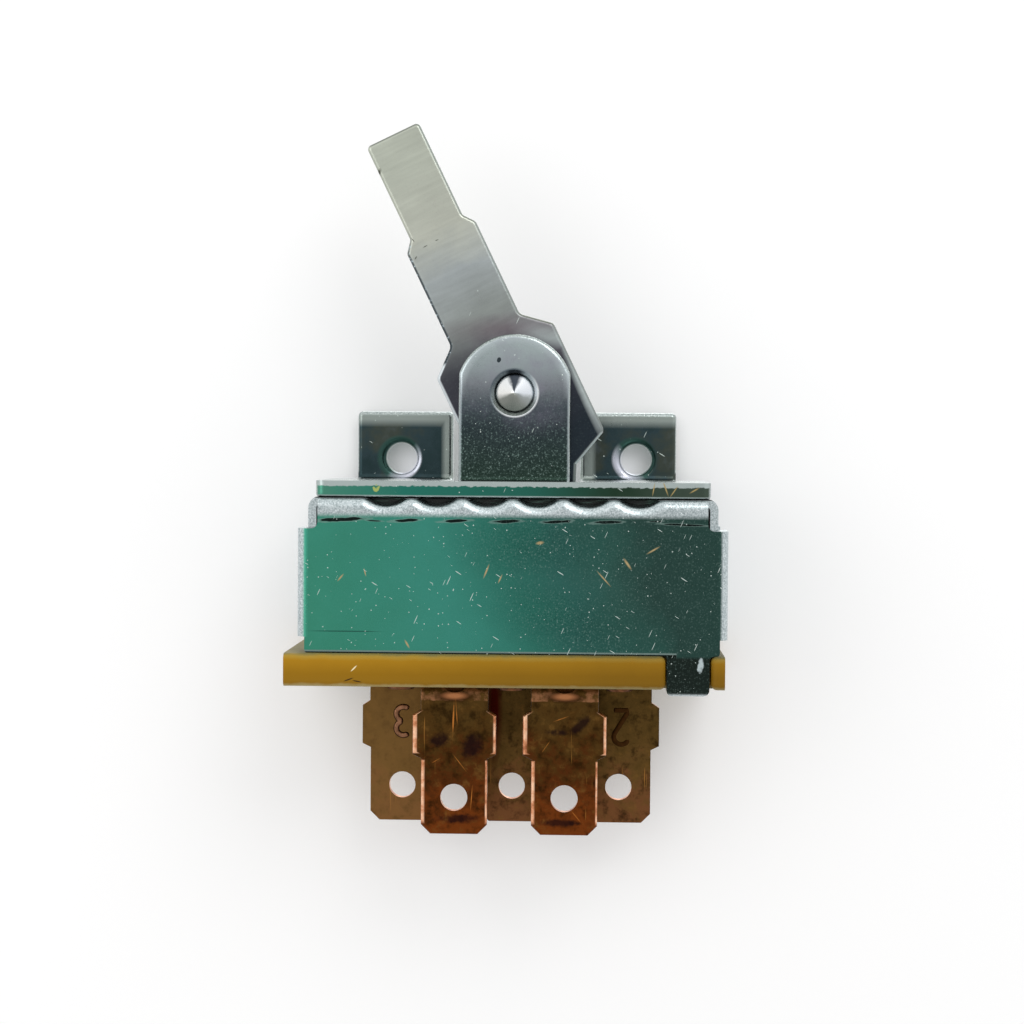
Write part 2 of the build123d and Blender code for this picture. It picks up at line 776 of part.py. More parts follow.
# Detent balls under the roof's waves, each on a coil spring of six-sided wire in its bore
ball_radius = ball_diameter / 2
ball_centre = inner_hollow - ball_gap - ball_radius
spring_radius = (spring_coil - spring_wire) / 2
spring_seat = ball_centre - math.sqrt(ball_radius**2 - spring_radius**2)
for number, shift in enumerate(ball_offsets, start=1):
    with BuildPart() as detent_ball:
        with Locations((carriage_rest + shift, ball_y, ball_centre)):
            Sphere(ball_radius)
    export(detent_ball, f"detent_ball_{number}")
    coil_low = bore_bottom + spring_wire / 2 + seat_fit
    coil_rise = spring_seat - spring_wire - coil_low
    with BuildPart() as detent_spring:
        with BuildLine():
            coil = Helix(
                coil_rise / spring_turns,
                coil_rise,
                spring_radius,
                center=(carriage_rest + shift, ball_y, coil_low),
            )
        with BuildSketch(Plane(coil @ 0, z_dir=coil % 0)):
            RegularPolygon(spring_wire / 2, 6)
        sweep(is_frenet=True)
    export(detent_spring, f"detent_spring_{number}")

# Contact bridge: copper strip with turned-up ends that slides over the contact rivets
bridge_bottom = housing_bottom + contact_head_height + bridge_gap
with BuildPart() as contact_bridge:
    with BuildSketch(Plane.XZ.offset(-(board_middle - bridge_width / 2))):
        half = bridge_length / 2
        run = half - bridge_nose
        low = bridge_bottom
        high = bridge_bottom + bridge_thickness
        with BuildLine():
            Polyline(
                (carriage_rest - run, low),
                (carriage_rest + run, low),
                (carriage_rest + half, low + bridge_lift),
                (carriage_rest + half, high + bridge_lift),
                (carriage_rest + run, high),
                (carriage_rest - run, high),
                (carriage_rest - half, high + bridge_lift),
                (carriage_rest - half, low + bridge_lift),
                close=True,
            )
        make_face()
    extrude(amount=-bridge_width)
export(contact_bridge, "contact_bridge")

# Leaf spring: a bowed strip between the ceiling of the carriage's recess and the bridge
leaf_low = bridge_bottom + bridge_thickness + seat_fit
leaf_high = recess_top - leaf_thickness - seat_fit
with BuildPart() as leaf_spring:
    with BuildSketch(Plane.XZ.offset(-(board_middle - leaf_width / 2))):
        half = leaf_length / 2
        with BuildLine():
            left = carriage_rest - half
            right = carriage_rest + half
            ThreePointArc((left, leaf_low), (carriage_rest, leaf_high), (right, leaf_low))
            Line((right, leaf_low), (right, leaf_low + leaf_thickness))
            ThreePointArc(
                (right, leaf_low + leaf_thickness),
                (carriage_rest, leaf_high + leaf_thickness),
                (left, leaf_low + leaf_thickness),
            )
            Line((left, leaf_low + leaf_thickness), (left, leaf_low))
        make_face()
    extrude(amount=-leaf_width)
export(leaf_spring, "leaf_spring")
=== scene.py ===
import math

import bpy
import numpy as np
from mathutils import Matrix, Vector


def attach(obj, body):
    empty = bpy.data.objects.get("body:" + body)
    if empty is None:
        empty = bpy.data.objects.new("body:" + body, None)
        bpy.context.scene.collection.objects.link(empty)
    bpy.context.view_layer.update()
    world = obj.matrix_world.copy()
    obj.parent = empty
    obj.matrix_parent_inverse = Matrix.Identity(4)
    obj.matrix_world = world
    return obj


# Lever blower switch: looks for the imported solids, in metres, in the frame of the solids.
# The solids' origin is midway between the mounting holes on the back of the ears.

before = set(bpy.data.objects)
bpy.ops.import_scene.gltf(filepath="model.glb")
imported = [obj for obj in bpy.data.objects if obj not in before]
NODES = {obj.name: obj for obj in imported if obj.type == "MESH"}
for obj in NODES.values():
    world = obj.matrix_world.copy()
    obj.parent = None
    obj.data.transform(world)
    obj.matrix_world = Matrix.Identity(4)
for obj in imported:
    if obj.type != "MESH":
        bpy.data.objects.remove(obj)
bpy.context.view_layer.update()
MM = 0.001

# Places on the solids that the finishes and the added pieces follow, in millimetres
BOARD_FRONT = -20.0
HOUSING_FRONT = -19.0
PLATE_EDGE = -18.6
PIVOT_EAR_FRONT = -15.6
FRONT_ROW_FACE = -14.2
BACK_ROW_FACE = -6.23
CREST_TOP = -3.6
HOUSING_BOTTOM = -18.3
BOARD_BOTTOM = -21.4
BLADE_TIPS = -36.1
DETENT_PITCH = 4.7625
PIVOT = (0.0, -13.8, 6.3)
LEVER_LEAN = math.radians(25.8)
# Rings round the mounting holes, painted with a highlight at one side and shade at the other: middle along X,
# and the way to the painted highlight
HOLE_RINGS = ((-12.1, (0.75, 0, -0.65)), (11.7, (-0.8, 0, -0.6)))
SPOT_DEPTH = 4.0


def linear(code):
    """sRGB hex code to the linear colour that the shaders take."""
    levels = [int(code[i:i + 2], 16) / 255 for i in (1, 3, 5)]
    return tuple(v / 12.92 if v <= 0.04045 else ((v + 0.055) / 1.055) ** 2.4 for v in levels) + (1.0,)


def add(tree, kind, inputs=None, stops=(), out=None, **settings):
    """Adds a shader node with its settings and gives back one of its outputs, the first if none is named.
    An input is linked if it is a socket, and is a colour if it is a hex code, else a value; stops are the
    (position, hex) colours of a colour ramp."""
    made = tree.nodes.new("ShaderNode" + kind)
    for name, value in settings.items():
        setattr(made, name, value)
    for name, value in (inputs or {}).items():
        if isinstance(value, bpy.types.NodeSocket):
            tree.links.new(value, made.inputs[name])
        else:
            made.inputs[name].default_value = linear(value) if isinstance(value, str) else value
    for place, (position, code) in enumerate(stops):
        elements = made.color_ramp.elements
        element = elements[place] if place < len(elements) else elements.new(position)
        element.position = position
        element.color = linear(code)
    if out:
        return made.outputs[out]
    return next((output for output in made.outputs if output.enabled), made)


def new_material(name):
    """Empty node material, with the Object coordinates that its patterns follow."""
    material = bpy.data.materials.new(name)
    material.use_nodes = True
    tree = material.node_tree
    tree.nodes.clear()
    return material, tree, add(tree, "TexCoord", out="Object")


def finish_material(tree, shader):
    """Links the finished shader to the material's output."""
    output = tree.nodes.new("ShaderNodeOutputMaterial")
    tree.links.new(shader, output.inputs["Surface"])


def cover(node, material):
    """Gives a CAD node its one material."""
    data = NODES[node].data
    data.materials.clear()
    data.materials.append(material)


def turned_away(tree, start, end):
    """Mask of the surface by how far it has turned from the front or the back: the size of its
    normal along Y, from 0 at the start to 1 at the end."""
    facing = add(tree, "SeparateXYZ", {0: add(tree, "TexCoord", out="Normal")}, out="Y")
    facing = add(tree, "Math", {0: facing}, operation="ABSOLUTE")
    return add(tree, "MapRange", {"Value": facing, "From Min": start, "From Max": end})


def flat_faces(tree):
    """Mask of the flats that face the front or the back, without the bends that turn up."""
    upwards = add(tree, "SeparateXYZ", {0: add(tree, "TexCoord", out="Normal")}, out="Z")
    level = add(tree, "MapRange", {"Value": upwards, "From Min": 0.4, "From Max": 0.12})
    return add(tree, "Math", {0: turned_away(tree, 0.5, 0.75), 1: level}, operation="MINIMUM")


def part_of(tree, place, axis, start, end):
    """Runs from 0 to 1 between two places along an axis, given in millimetres."""
    level = add(tree, "SeparateXYZ", {0: place}, out=axis)
    return add(tree, "MapRange", {"Value": level, "From Min": start * MM, "From Max": end * MM})


def spots(tree, place, face, marks, soft=0.25):
    """Mask of small ellipses on the face that lies at a place along Y: each mark is (x, z, turn in degrees,
    half width, half length), in millimetres. A point's distance from the mark, divided by the half sizes,
    is under 1 inside it. Their depth keeps them off the walls behind."""
    mask = None
    for x, z, turn, half_width, half_length in marks:
        near = add(tree, "Mapping", {
            "Vector": place, "Location": (x * MM, face * MM, z * MM), "Rotation": (0, math.radians(turn), 0),
            "Scale": (half_width * MM, SPOT_DEPTH * MM, half_length * MM),
        }, vector_type="TEXTURE")
        away = add(tree, "VectorMath", {0: near}, out="Value", operation="LENGTH")
        inside = add(tree, "MapRange", {
            "Value": away, "From Min": 1.0 - soft, "From Max": 1.0 + soft, "To Min": 1.0, "To Max": 0.0,
        })
        mask = inside if mask is None else add(tree, "Math", {0: mask, 1: inside}, operation="MAXIMUM")
    return mask


def scatter(tree, vector, share, reach):
    """Mask of dots, one in a cell of unit size, in the cells whose chance is over the share: their radius
    grows with the chance, up to the reach."""
    distance = add(tree, "TexVoronoi", {"Vector": vector, "Scale": 1.0})
    chance = add(tree, "SeparateColor", {0: distance.node.outputs["Color"]})
    radius = add(tree, "MapRange", {"Value": chance, "From Min": share, "From Max": 1.0, "To Max": reach})
    return add(tree, "Math", {0: distance, 1: radius}, operation="LESS_THAN")


def round_axis(tree, place, x, z):
    """A point's offset from an axis along Y, and its distance from it; the axis is given in millimetres."""
    offset = add(tree, "VectorMath", {0: place, 1: (x * MM, 0, z * MM)}, operation="SUBTRACT")
    offset = add(tree, "VectorMath", {0: offset, 1: (1, 0, 1)}, operation="MULTIPLY")
    return offset, add(tree, "VectorMath", {0: offset}, out="Value", operation="LENGTH")


def paint(tree, colour, coats):
    """Lays coats over a colour in their order, each a (mask, colour of the coat)."""
    for mask, coat in coats:
        colour = add(tree, "Mix", {"Factor": mask, "A": colour, "B": coat}, data_type="RGBA")
    return colour


def zinc_plate(name, tint_and_painted_light, nicked, silver=None, roughness=0.27):
    """Steel stamping, zinc plated in a barrel. The eye gets bare silver on the bends that face up and on
    edges, and on the flats and below a tint that carries painted reflection, painted light and painted
    shade, a peened grain, and white nicks and hairlines, as many as the share nicked. The tint function
    gives its tint, the share to which peening speckles it, where it lies if bare silver shows beside it,
    and where a painted shadow darkens it, if anywhere."""
    material, tree, place = new_material(name)
    # Peening dents are about 0.15 mm across and the clouds in the film about 5 mm
    peen = add(tree, "TexNoise", {"Vector": place, "Scale": 6200.0, "Detail": 3.0, "Roughness": 0.6})
    cloud = add(tree, "TexNoise", {"Vector": place, "Scale": 200.0, "Detail": 4.0, "Roughness": 0.6})
    tint, speckle, tinted, painted_shadow = tint_and_painted_light(tree, place, cloud)
    grain = add(tree, "MapRange", {"Value": peen, "From Min": 0.56, "From Max": 0.7})
    grain = add(tree, "Math", {0: grain, 1: speckle}, operation="MULTIPLY")
    hollow = add(tree, "MapRange", {"Value": peen, "From Min": 0.45, "From Max": 0.32})
    hollow = add(tree, "Math", {0: hollow, 1: speckle}, operation="MULTIPLY")
    # Nicks up to 0.12 mm across, in 0.45 mm cells
    cells = add(tree, "VectorMath", {0: place, 3: 2200.0}, operation="SCALE")
    worn = scatter(tree, cells, 1.0 - nicked, 0.14)
    # Hairlines 0.05 mm wide and up to 0.8 mm long, at two slants
    for turn, width, length in ((24.0, 0.26, 3.4), (-58.0, 0.3, 2.6)):
        slant = add(tree, "Mapping", {
            "Vector": place, "Rotation": (0, math.radians(turn), 0),
            "Scale": (width * MM, width * MM, length * MM),
        }, vector_type="TEXTURE")
        hair = scatter(tree, slant, 1.0 - 0.6 * nicked, 0.14)
        worn = add(tree, "Math", {0: worn, 1: hair}, operation="MAXIMUM")
    colour = paint(tree, tint, [
        (grain, "#9db8b0"), (hollow, "#0d1817"),
        (add(tree, "Math", {0: worn, 1: 0.85}, operation="MULTIPLY"), "#d3e0da"),
    ])
    # Bare silver where the tint, with its painted reflection, does not lie
    if silver:
        colour = paint(tree, add(tree, "ValToRGB", {"Fac": peen}, silver), [(tinted, colour)])
    rough = add(tree, "MapRange", {
        "Value": cloud, "From Min": 0.3, "From Max": 0.7,
        "To Min": roughness - 0.05, "To Max": roughness + 0.08,
    })
    metal = 1.0
    # The painted shadow: near black, rough and not metal
    if painted_shadow is not None:
        colour = paint(tree, colour, [(painted_shadow, "#0a0f0d")])
        rough = add(tree, "Math", {0: rough, 1: painted_shadow}, operation="MAXIMUM")
        metal = add(tree, "Math", {0: 1.0, 1: painted_shadow}, operation="SUBTRACT")
    dents = add(tree, "TexNoise", {"Vector": place, "Scale": 2400.0, "Detail": 2.0})
    height = add(tree, "Math", {0: peen, 1: worn}, operation="ADD")
    height = add(tree, "Math", {0: dents, 1: 2.0, 2: height}, operation="MULTIPLY_ADD")
    bump = add(tree, "Bump", {"Height": height, "Strength": 0.35, "Distance": 0.012 * MM})
    finish_material(tree, add(tree, "BsdfPrincipled", {
        "Base Color": colour, "Metallic": metal, "Roughness": rough, "Normal": bump,
    }))
    return material


def housing_tint_and_painted_light(tree, place, cloud):
    """Painted reflection: green at the left that falls off to near black at the right, with painted dark
    reflections blotched in between and a painted dark lens with painted pale rims under each detent
    crest; a score line low on the left, and wood fibres caught on the surface. The painted reflection
    lies on the front and back walls alone; a painted shadow is black where the plate meets the roof's
    front."""
    # Painted reflection: green at the left, falling off to near black at the right
    across = part_of(tree, place, "X", -20.0, 20.0)
    down = part_of(tree, place, "Z", HOUSING_BOTTOM, CREST_TOP)
    across = add(tree, "Math", {0: cloud, 1: 0.22, 2: across}, operation="MULTIPLY_ADD")
    across = add(tree, "Math", {0: down, 1: 0.1, 2: across}, operation="MULTIPLY_ADD")
    tint = add(tree, "ValToRGB", {"Fac": across}, [
        (0.15, "#409078"), (0.5, "#419080"), (0.66, "#377a6c"), (0.78, "#386a62"), (0.9, "#365c54"),
        (1.0, "#2f4a44"),
    ])
    # Painted dark reflections in two soft blotches, where the peening also speckles more
    painted_dark_blotch = spots(tree, place, HOUSING_FRONT, [(2.4, -8.0, 0, 6.0, 2.6), (6.0, -15.5, 20, 6.5, 2.6)], 0.7)
    painted_dark_blotch = add(tree, "Math", {0: painted_dark_blotch, 1: 0.35}, operation="MULTIPLY")
    speckle = add(tree, "MapRange", {
        "Value": across, "From Min": 0.6, "From Max": 0.95, "To Min": 0.04, "To Max": 0.2,
    })
    speckle = add(tree, "Math", {0: speckle, 1: painted_dark_blotch}, operation="MAXIMUM")
    # Painted dark reflections shaped as lenses, with torn rims of painted highlight, under the crests and at
    # both ends
    painted_dark_lenses = spots(tree, place, HOUSING_FRONT, [
        (DETENT_PITCH * k - 0.55, CREST_TOP - 2.2, -3, 1.5, 0.17) for k in range(-2, 3)
    ] + [
        (-16.2, CREST_TOP - 2.15, -2, 2.6, 0.22), (-13.0, CREST_TOP - 2.25, 3, 0.9, 0.08),
        (16.0, CREST_TOP - 2.4, 2, 2.4, 0.12), (13.4, CREST_TOP - 2.1, -4, 0.8, 0.08),
    ], 0.6)
    torn = add(tree, "Mapping", {"Vector": place, "Scale": (900.0, 900.0, 4200.0)})
    torn = add(tree, "TexNoise", {"Vector": torn, "Scale": 1.0, "Detail": 3.0})
    painted_dark_lenses = add(tree, "Math", {0: torn, 1: 1.1, 2: painted_dark_lenses}, operation="MULTIPLY_ADD")
    painted_pale_rims = add(tree, "MapRange", {"Value": painted_dark_lenses, "From Min": 0.85, "From Max": 1.0, "To Max": 0.45})
    painted_dark_lenses = add(tree, "MapRange", {"Value": painted_dark_lenses, "From Min": 1.15, "From Max": 1.3})
    score = spots(tree, place, HOUSING_FRONT, [(-15.7, -16.25, 0, 3.2, 0.05)])
    fibres = spots(tree, place, HOUSING_FRONT, [
        (-2.4, -10.5, 22, 0.07, 0.55), (8.6, -11.1, -42, 0.06, 0.75), (10.8, -9.7, -35, 0.1, 0.5),
        (13.2, -8.4, 60, 0.07, 0.55), (-16.1, -11.2, 40, 0.07, 0.35), (-13.8, -10.7, -15, 0.05, 0.3),
        (-9.8, -17.4, -30, 0.08, 0.35), (-1.1, -11.2, 25, 0.06, 0.35), (2.6, -7.8, 80, 0.13, 0.3),
    ], 0.5)
    # Beside the crimp tab, the foot of the wall has a painted highlight line over a painted shadow line
    beside_tab = part_of(tree, place, "X", 15.5, 15.4)
    foot_highlight_line, foot_shadow_line = (
        add(tree, "Math", {0: part_of(tree, place, "Z", top, top - 0.06), 1: beside_tab}, operation="MULTIPLY")
        for top in (-18.0, -18.15)
    )
    # Painted shade over the crimp tab below the wall
    tab = part_of(tree, place, "Z", HOUSING_BOTTOM, HOUSING_BOTTOM - 0.3)
    # A painted highlight streak, broken up by noise, on the crimp tab
    rough = add(tree, "TexNoise", {"Vector": place, "Scale": 1500.0, "Detail": 3.0})
    tab_highlight = spots(tree, place, HOUSING_FRONT, [(17.7, -19.3, 6, 0.4, 1.0)], 0.5)
    tab_highlight = add(tree, "Math", {0: tab_highlight, 1: rough}, operation="MULTIPLY")
    tab_highlight = add(tree, "MapRange", {"Value": tab_highlight, "From Min": 0.35, "From Max": 0.5})
    tint = paint(tree, tint, [
        (painted_dark_blotch, "#1c4a40"), (painted_pale_rims, "#8aa39c"), (painted_dark_lenses, "#17211f"), (score, "#2a5a4e"), (fibres, "#c0a97c"),
        (foot_highlight_line, "#7d918c"), (foot_shadow_line, "#141b17"), (tab, "#222b27"), (tab_highlight, "#c8d6d8"),
    ])
    # The painted reflection stops at the wraps of both ends and at the roof's fold
    at_walls = add(tree, "Math", {
        0: part_of(tree, place, "Y", -18.4, -18.6), 1: part_of(tree, place, "Y", -0.6, -0.4),
    }, operation="MAXIMUM")
    aside = add(tree, "Math", {0: add(tree, "SeparateXYZ", {0: place}, out="X")}, operation="ABSOLUTE")
    inwards = add(tree, "MapRange", {"Value": aside, "From Min": 19.75 * MM, "From Max": 19.5 * MM})
    below_fold = part_of(tree, place, "Z", CREST_TOP - 1.5, CREST_TOP - 1.95)
    tinted = flat_faces(tree)
    for limit in (at_walls, inwards, below_fold):
        tinted = add(tree, "Math", {0: tinted, 1: limit}, operation="MINIMUM")
    # Painted contact shadow, black, where the plate meets the roof's front
    painted_shadow = part_of(tree, place, "Z", CREST_TOP - 0.22, CREST_TOP - 0.1)
    painted_shadow = add(tree, "Math", {0: painted_shadow, 1: part_of(tree, place, "Y", -17.0, -17.8)}, operation="MINIMUM")
    return tint, speckle, tinted, painted_shadow


def bracket_tint_and_painted_light(tree, place, cloud):
    """Tint with painted reflection on the flats: dark teal on the rear ears under a pale top, navy to pale
    lavender up the pivot ear as painted shade below and painted light above, with painted highlights on
    its crown and side edges, and on the plate's front edge a green band under a pale burr, with a yellow
    splash and fibres. The bends at the ears' feet stay dark, and the rivet's seat and the hole rings
    carry a painted highlight at one side and painted shade at the other."""
    rough = add(tree, "TexNoise", {"Vector": place, "Scale": 2200.0, "Detail": 3.0})
    aside = add(tree, "Math", {0: add(tree, "SeparateXYZ", {0: place}, out="X")}, operation="ABSOLUTE")
    rear = add(tree, "ValToRGB", {"Fac": cloud}, [
        (0.3, "#263838"), (0.5, "#36464a"), (0.62, "#454c45"), (0.75, "#565f62"),
    ])
    inner = add(tree, "MapRange", {"Value": aside, "From Min": 7.9 * MM, "From Max": 7.4 * MM})
    rise = add(tree, "Math", {0: part_of(tree, place, "Z", 3.1, 3.9), 1: inner}, operation="MAXIMUM")
    rear = paint(tree, rear, [(rise, "#98a29d")])
    rings = None
    # Each ring: painted highlight on one side, painted shade on the other
    for middle, lit in HOLE_RINGS:
        offset, away = round_axis(tree, place, middle, 0)
        ring = add(tree, "MapRange", {"Value": away, "From Min": 2.35 * MM, "From Max": 2.05 * MM})
        side = add(tree, "VectorMath", {0: offset, 1: lit}, out="Value", operation="DOT_PRODUCT")
        side = add(tree, "MapRange", {"Value": side, "From Min": 0.2 * MM, "From Max": 1.7 * MM})
        shade = add(tree, "Mix", {"Factor": side, "A": "#38544e", "B": "#cdd0dc"}, data_type="RGBA")
        rear = paint(tree, rear, [(ring, shade)])
        rings = ring if rings is None else add(tree, "Math", {0: rings, 1: ring}, operation="MAXIMUM")

    # Painted shade low on the pivot ear, rising to painted light at its top
    up = part_of(tree, place, "Z", -2.0, 11.5)
    up = add(tree, "Math", {0: cloud, 1: 0.16, 2: up}, operation="MULTIPLY_ADD")
    pivot_ear = add(tree, "ValToRGB", {"Fac": up}, [
        (0.08, "#2f4139"), (0.44, "#354043"), (0.6, "#4d565c"), (0.76, "#84898f"), (0.88, "#9ba6a8"),
        (1.0, "#a9b5b6"),
    ])
    offset, away = round_axis(tree, place, 0, PIVOT[2])
    seat = add(tree, "MapRange", {"Value": away, "From Min": 2.4 * MM, "From Max": 2.25 * MM})
    # Painted highlights on the pivot ear's crown and along its side edges
    crown = add(tree, "MapRange", {"Value": away, "From Min": 4.6 * MM, "From Max": 5.4 * MM})
    crown = add(tree, "Math", {0: crown, 1: part_of(tree, place, "Z", 5.5, 8.0)}, operation="MULTIPLY")
    edge_highlights = add(tree, "MapRange", {"Value": aside, "From Min": 5.0 * MM, "From Max": 5.15 * MM, "To Max": 0.6})
    crown = add(tree, "Math", {0: crown, 1: edge_highlights}, operation="MAXIMUM")
    lavender = add(tree, "MapRange", {"Value": cloud, "From Min": 0.5, "From Max": 0.7, "To Max": 0.5})
    lavender = add(tree, "Math", {0: lavender, 1: part_of(tree, place, "Z", 2.0, 6.0)}, operation="MULTIPLY")
    pit = spots(tree, place, PIVOT_EAR_FRONT, [(-1.5, 9.4, 15, 0.2, 0.28)], 0.4)
    pit = add(tree, "Math", {0: rough, 1: 0.8, 2: pit}, operation="MULTIPLY_ADD")
    pit = add(tree, "MapRange", {"Value": pit, "From Min": 0.95, "From Max": 1.1})
    # Painted shade above the rivet's seat and a painted highlight to its lower right
    side = add(tree, "VectorMath", {0: offset, 1: (0.6, 0, -0.8)}, out="Value", operation="DOT_PRODUCT")
    side = add(tree, "MapRange", {"Value": side, "From Min": -1.8 * MM, "From Max": 1.2 * MM})
    side = add(tree, "ValToRGB", {"Fac": side}, [(0.0, "#59636b"), (0.45, "#9da9ad"), (1.0, "#f2f6f8")])
    pivot_ear = paint(tree, pivot_ear, [
        (crown, "#c2cdd0"), (lavender, "#857c90"), (pit, "#3a4246"), (seat, side),
    ])

    # Painted green reflection along the plate's front edge, darker to the right
    across = part_of(tree, place, "X", -19.0, 19.0)
    across = add(tree, "Math", {0: cloud, 1: 0.15, 2: across}, operation="MULTIPLY_ADD")
    edge = add(tree, "ValToRGB", {"Fac": across}, [
        (0.05, "#56937d"), (0.3, "#2e7a6b"), (0.6, "#2e6a5c"), (0.82, "#2a4031"), (1.0, "#465349"),
    ])
    burr = part_of(tree, place, "Z", -3.1, -2.3)
    burr = add(tree, "Math", {0: rough, 1: 0.5, 2: burr}, operation="MULTIPLY_ADD")
    burr = add(tree, "MapRange", {"Value": burr, "From Min": 0.85, "From Max": 0.95})
    burr = add(tree, "Math", {0: burr, 1: part_of(tree, place, "Z", -3.4, -3.5)}, operation="MAXIMUM")
    splash = spots(tree, place, PLATE_EDGE, [(-12.8, -2.75, 0, 0.6, 0.55)], 0.6)
    splash = add(tree, "Math", {0: splash, 1: rough}, operation="MULTIPLY")
    splash = add(tree, "MapRange", {"Value": splash, "From Min": 0.42, "From Max": 0.5})
    fibres = spots(tree, place, PLATE_EDGE, [
        (13.2, -2.7, 10, 0.05, 0.5), (14.3, -2.6, -20, 0.06, 0.6), (15.1, -2.9, 35, 0.05, 0.5),
        (17.0, -2.8, 60, 0.06, 0.4),
    ], 0.5)
    edge = paint(tree, edge, [(burr, "#b4c0be"), (splash, "#b3c070"), (fibres, "#b9a36e")])

    is_edge = part_of(tree, place, "Y", -17.4, -17.5)
    is_pivot_ear = part_of(tree, place, "Y", -12.0, -12.1)
    tint = paint(tree, rear, [(is_pivot_ear, pivot_ear), (is_edge, edge)])
    low = add(tree, "MapRange", {"Value": up, "From Min": 0.3, "From Max": 0.8, "To Min": 0.5, "To Max": 0.08})
    speckle = add(tree, "Math", {0: low, 1: is_pivot_ear}, operation="MULTIPLY")
    speckle = add(tree, "Math", {0: speckle, 1: is_edge}, operation="SUBTRACT", use_clamp=True)
    feet = add(tree, "Math", {
        0: part_of(tree, place, "Z", -2.08, -2.04), 1: part_of(tree, place, "Z", -1.2, -1.5),
    }, operation="MINIMUM")
    rings = add(tree, "Math", {0: rings, 1: part_of(tree, place, "Y", -3.1, -3.0)}, operation="MINIMUM")
    tinted = add(tree, "Math", {0: flat_faces(tree), 1: feet}, operation="MAXIMUM")
    return tint, speckle, add(tree, "Math", {0: tinted, 1: rings}, operation="MAXIMUM"), None


def lever_tint_and_painted_light(tree, place, cloud):
    """Pale grey-green at the tip, bluish along the arm, and darker purple-brown down at the hub, whose
    upper right shoulder is pale again; faint drawing lines run across the arm. This tint wraps the edges
    too, and no bare silver shows. Over it light and shade are painted by the way the surface faces: below
    the step the left edge is painted dark with a burr, further down it has a painted highlight, the right
    side is lighter, and the top is painted dull."""
    along = add(tree, "Mapping", {
        "Vector": place, "Location": tuple(v * MM for v in PIVOT), "Rotation": (0, -LEVER_LEAN, 0),
    }, vector_type="TEXTURE")
    length = part_of(tree, along, "Z", -7.0, 27.0)
    length = add(tree, "Math", {0: cloud, 1: 0.14, 2: length}, operation="MULTIPLY_ADD")
    tint = add(tree, "ValToRGB", {"Fac": length}, [
        (0.12, "#2b333a"), (0.28, "#3f3f48"), (0.38, "#6d6a72"), (0.5, "#959b98"), (0.66, "#a8afb0"),
        (0.78, "#bfc2b6"), (1.0, "#b9beb1"),
    ])
    shoulder = spots(tree, place, PIVOT[1], [(3.0, 12.0, -75, 0.8, 2.6), (6.5, 6.5, -24, 0.35, 4.0)], 0.6)
    rubbed = spots(tree, place, PIVOT[1], [(-0.5, 12.6, 85, 0.9, 5.0)], 0.8)
    rubbed = add(tree, "Math", {0: rubbed, 1: 0.45}, operation="MULTIPLY")
    pits = spots(tree, place, PIVOT[1], [
        (-13.2, 27.3, 20, 0.16, 0.35), (-9.6, 19.2, 30, 0.05, 0.16), (-8.7, 20.3, 60, 0.04, 0.2),
        (-9.9, 20.9, -40, 0.04, 0.2), (-7.6, 20.9, 70, 0.04, 0.15),
    ], 0.5)
    tint = paint(tree, tint, [(shoulder, "#a9b2b2"), (rubbed, "#6d5762"), (pits, "#55564c")])
    drawn = add(tree, "Mapping", {"Vector": along, "Scale": (250.0, 250.0, 2400.0)})
    drawn = add(tree, "TexNoise", {"Vector": drawn, "Scale": 1.0, "Detail": 3.0})
    drawn = add(tree, "MapRange", {
        "Value": drawn, "From Min": 0.3, "From Max": 0.7, "To Min": 0.93, "To Max": 1.05,
    })
    tint = add(tree, "Mix", {"Factor": 1.0, "A": tint, "B": drawn}, data_type="RGBA", blend_type="MULTIPLY")

    hub = spots(tree, place, PIVOT[1], [(-6.3, 7.0, 25, 2.4, 4.0)], 0.7)
    hub = add(tree, "Math", {0: hub, 1: 0.75}, operation="MULTIPLY")
    # Painted light and shade by the way the surface faces: lighter where it faces right, a painted highlight
    # where it faces right and down, painted shade on the left edge of the arm with pale burr flecks, a painted
    # highlight on the left edge below the step, and painted shade on the top
    aside = add(tree, "SeparateXYZ", {0: add(tree, "TexCoord", out="Normal")}, out="X")
    upwards = aside.node.outputs["Z"]
    right = add(tree, "MapRange", {"Value": aside, "From Min": 0.1, "From Max": 0.5, "To Max": 0.7})
    low = add(tree, "MapRange", {"Value": upwards, "From Min": -0.2, "From Max": -0.4})
    low = add(tree, "Math", {0: right, 1: low}, operation="MULTIPLY")
    left = add(tree, "MapRange", {"Value": aside, "From Min": -0.1, "From Max": -0.5, "To Max": 0.85})
    arm = add(tree, "Math", {
        0: part_of(tree, place, "Z", 22.0, 19.0), 1: part_of(tree, place, "Z", 8.8, 9.2),
    }, operation="MULTIPLY")
    dark = add(tree, "Math", {0: left, 1: arm}, operation="MULTIPLY")
    bright = add(tree, "Math", {0: left, 1: part_of(tree, place, "Z", 9.2, 8.8)}, operation="MULTIPLY")
    burr = add(tree, "TexNoise", {"Vector": place, "Scale": 4000.0, "Detail": 1.0})
    burr = add(tree, "MapRange", {"Value": burr, "From Min": 0.58, "From Max": 0.64})
    burr = add(tree, "Math", {0: burr, 1: dark}, operation="MULTIPLY")
    top = add(tree, "MapRange", {"Value": upwards, "From Min": 0.3, "From Max": 0.7})
    tint = paint(tree, tint, [
        (hub, "#2f333a"), (right, "#8b9390"), (low, "#f2f8fa"), (dark, "#26333a"), (bright, "#e4ecef"),
        (burr, "#b9c8ce"), (top, "#6f746b"),
    ])
    return tint, 0.05, None, None


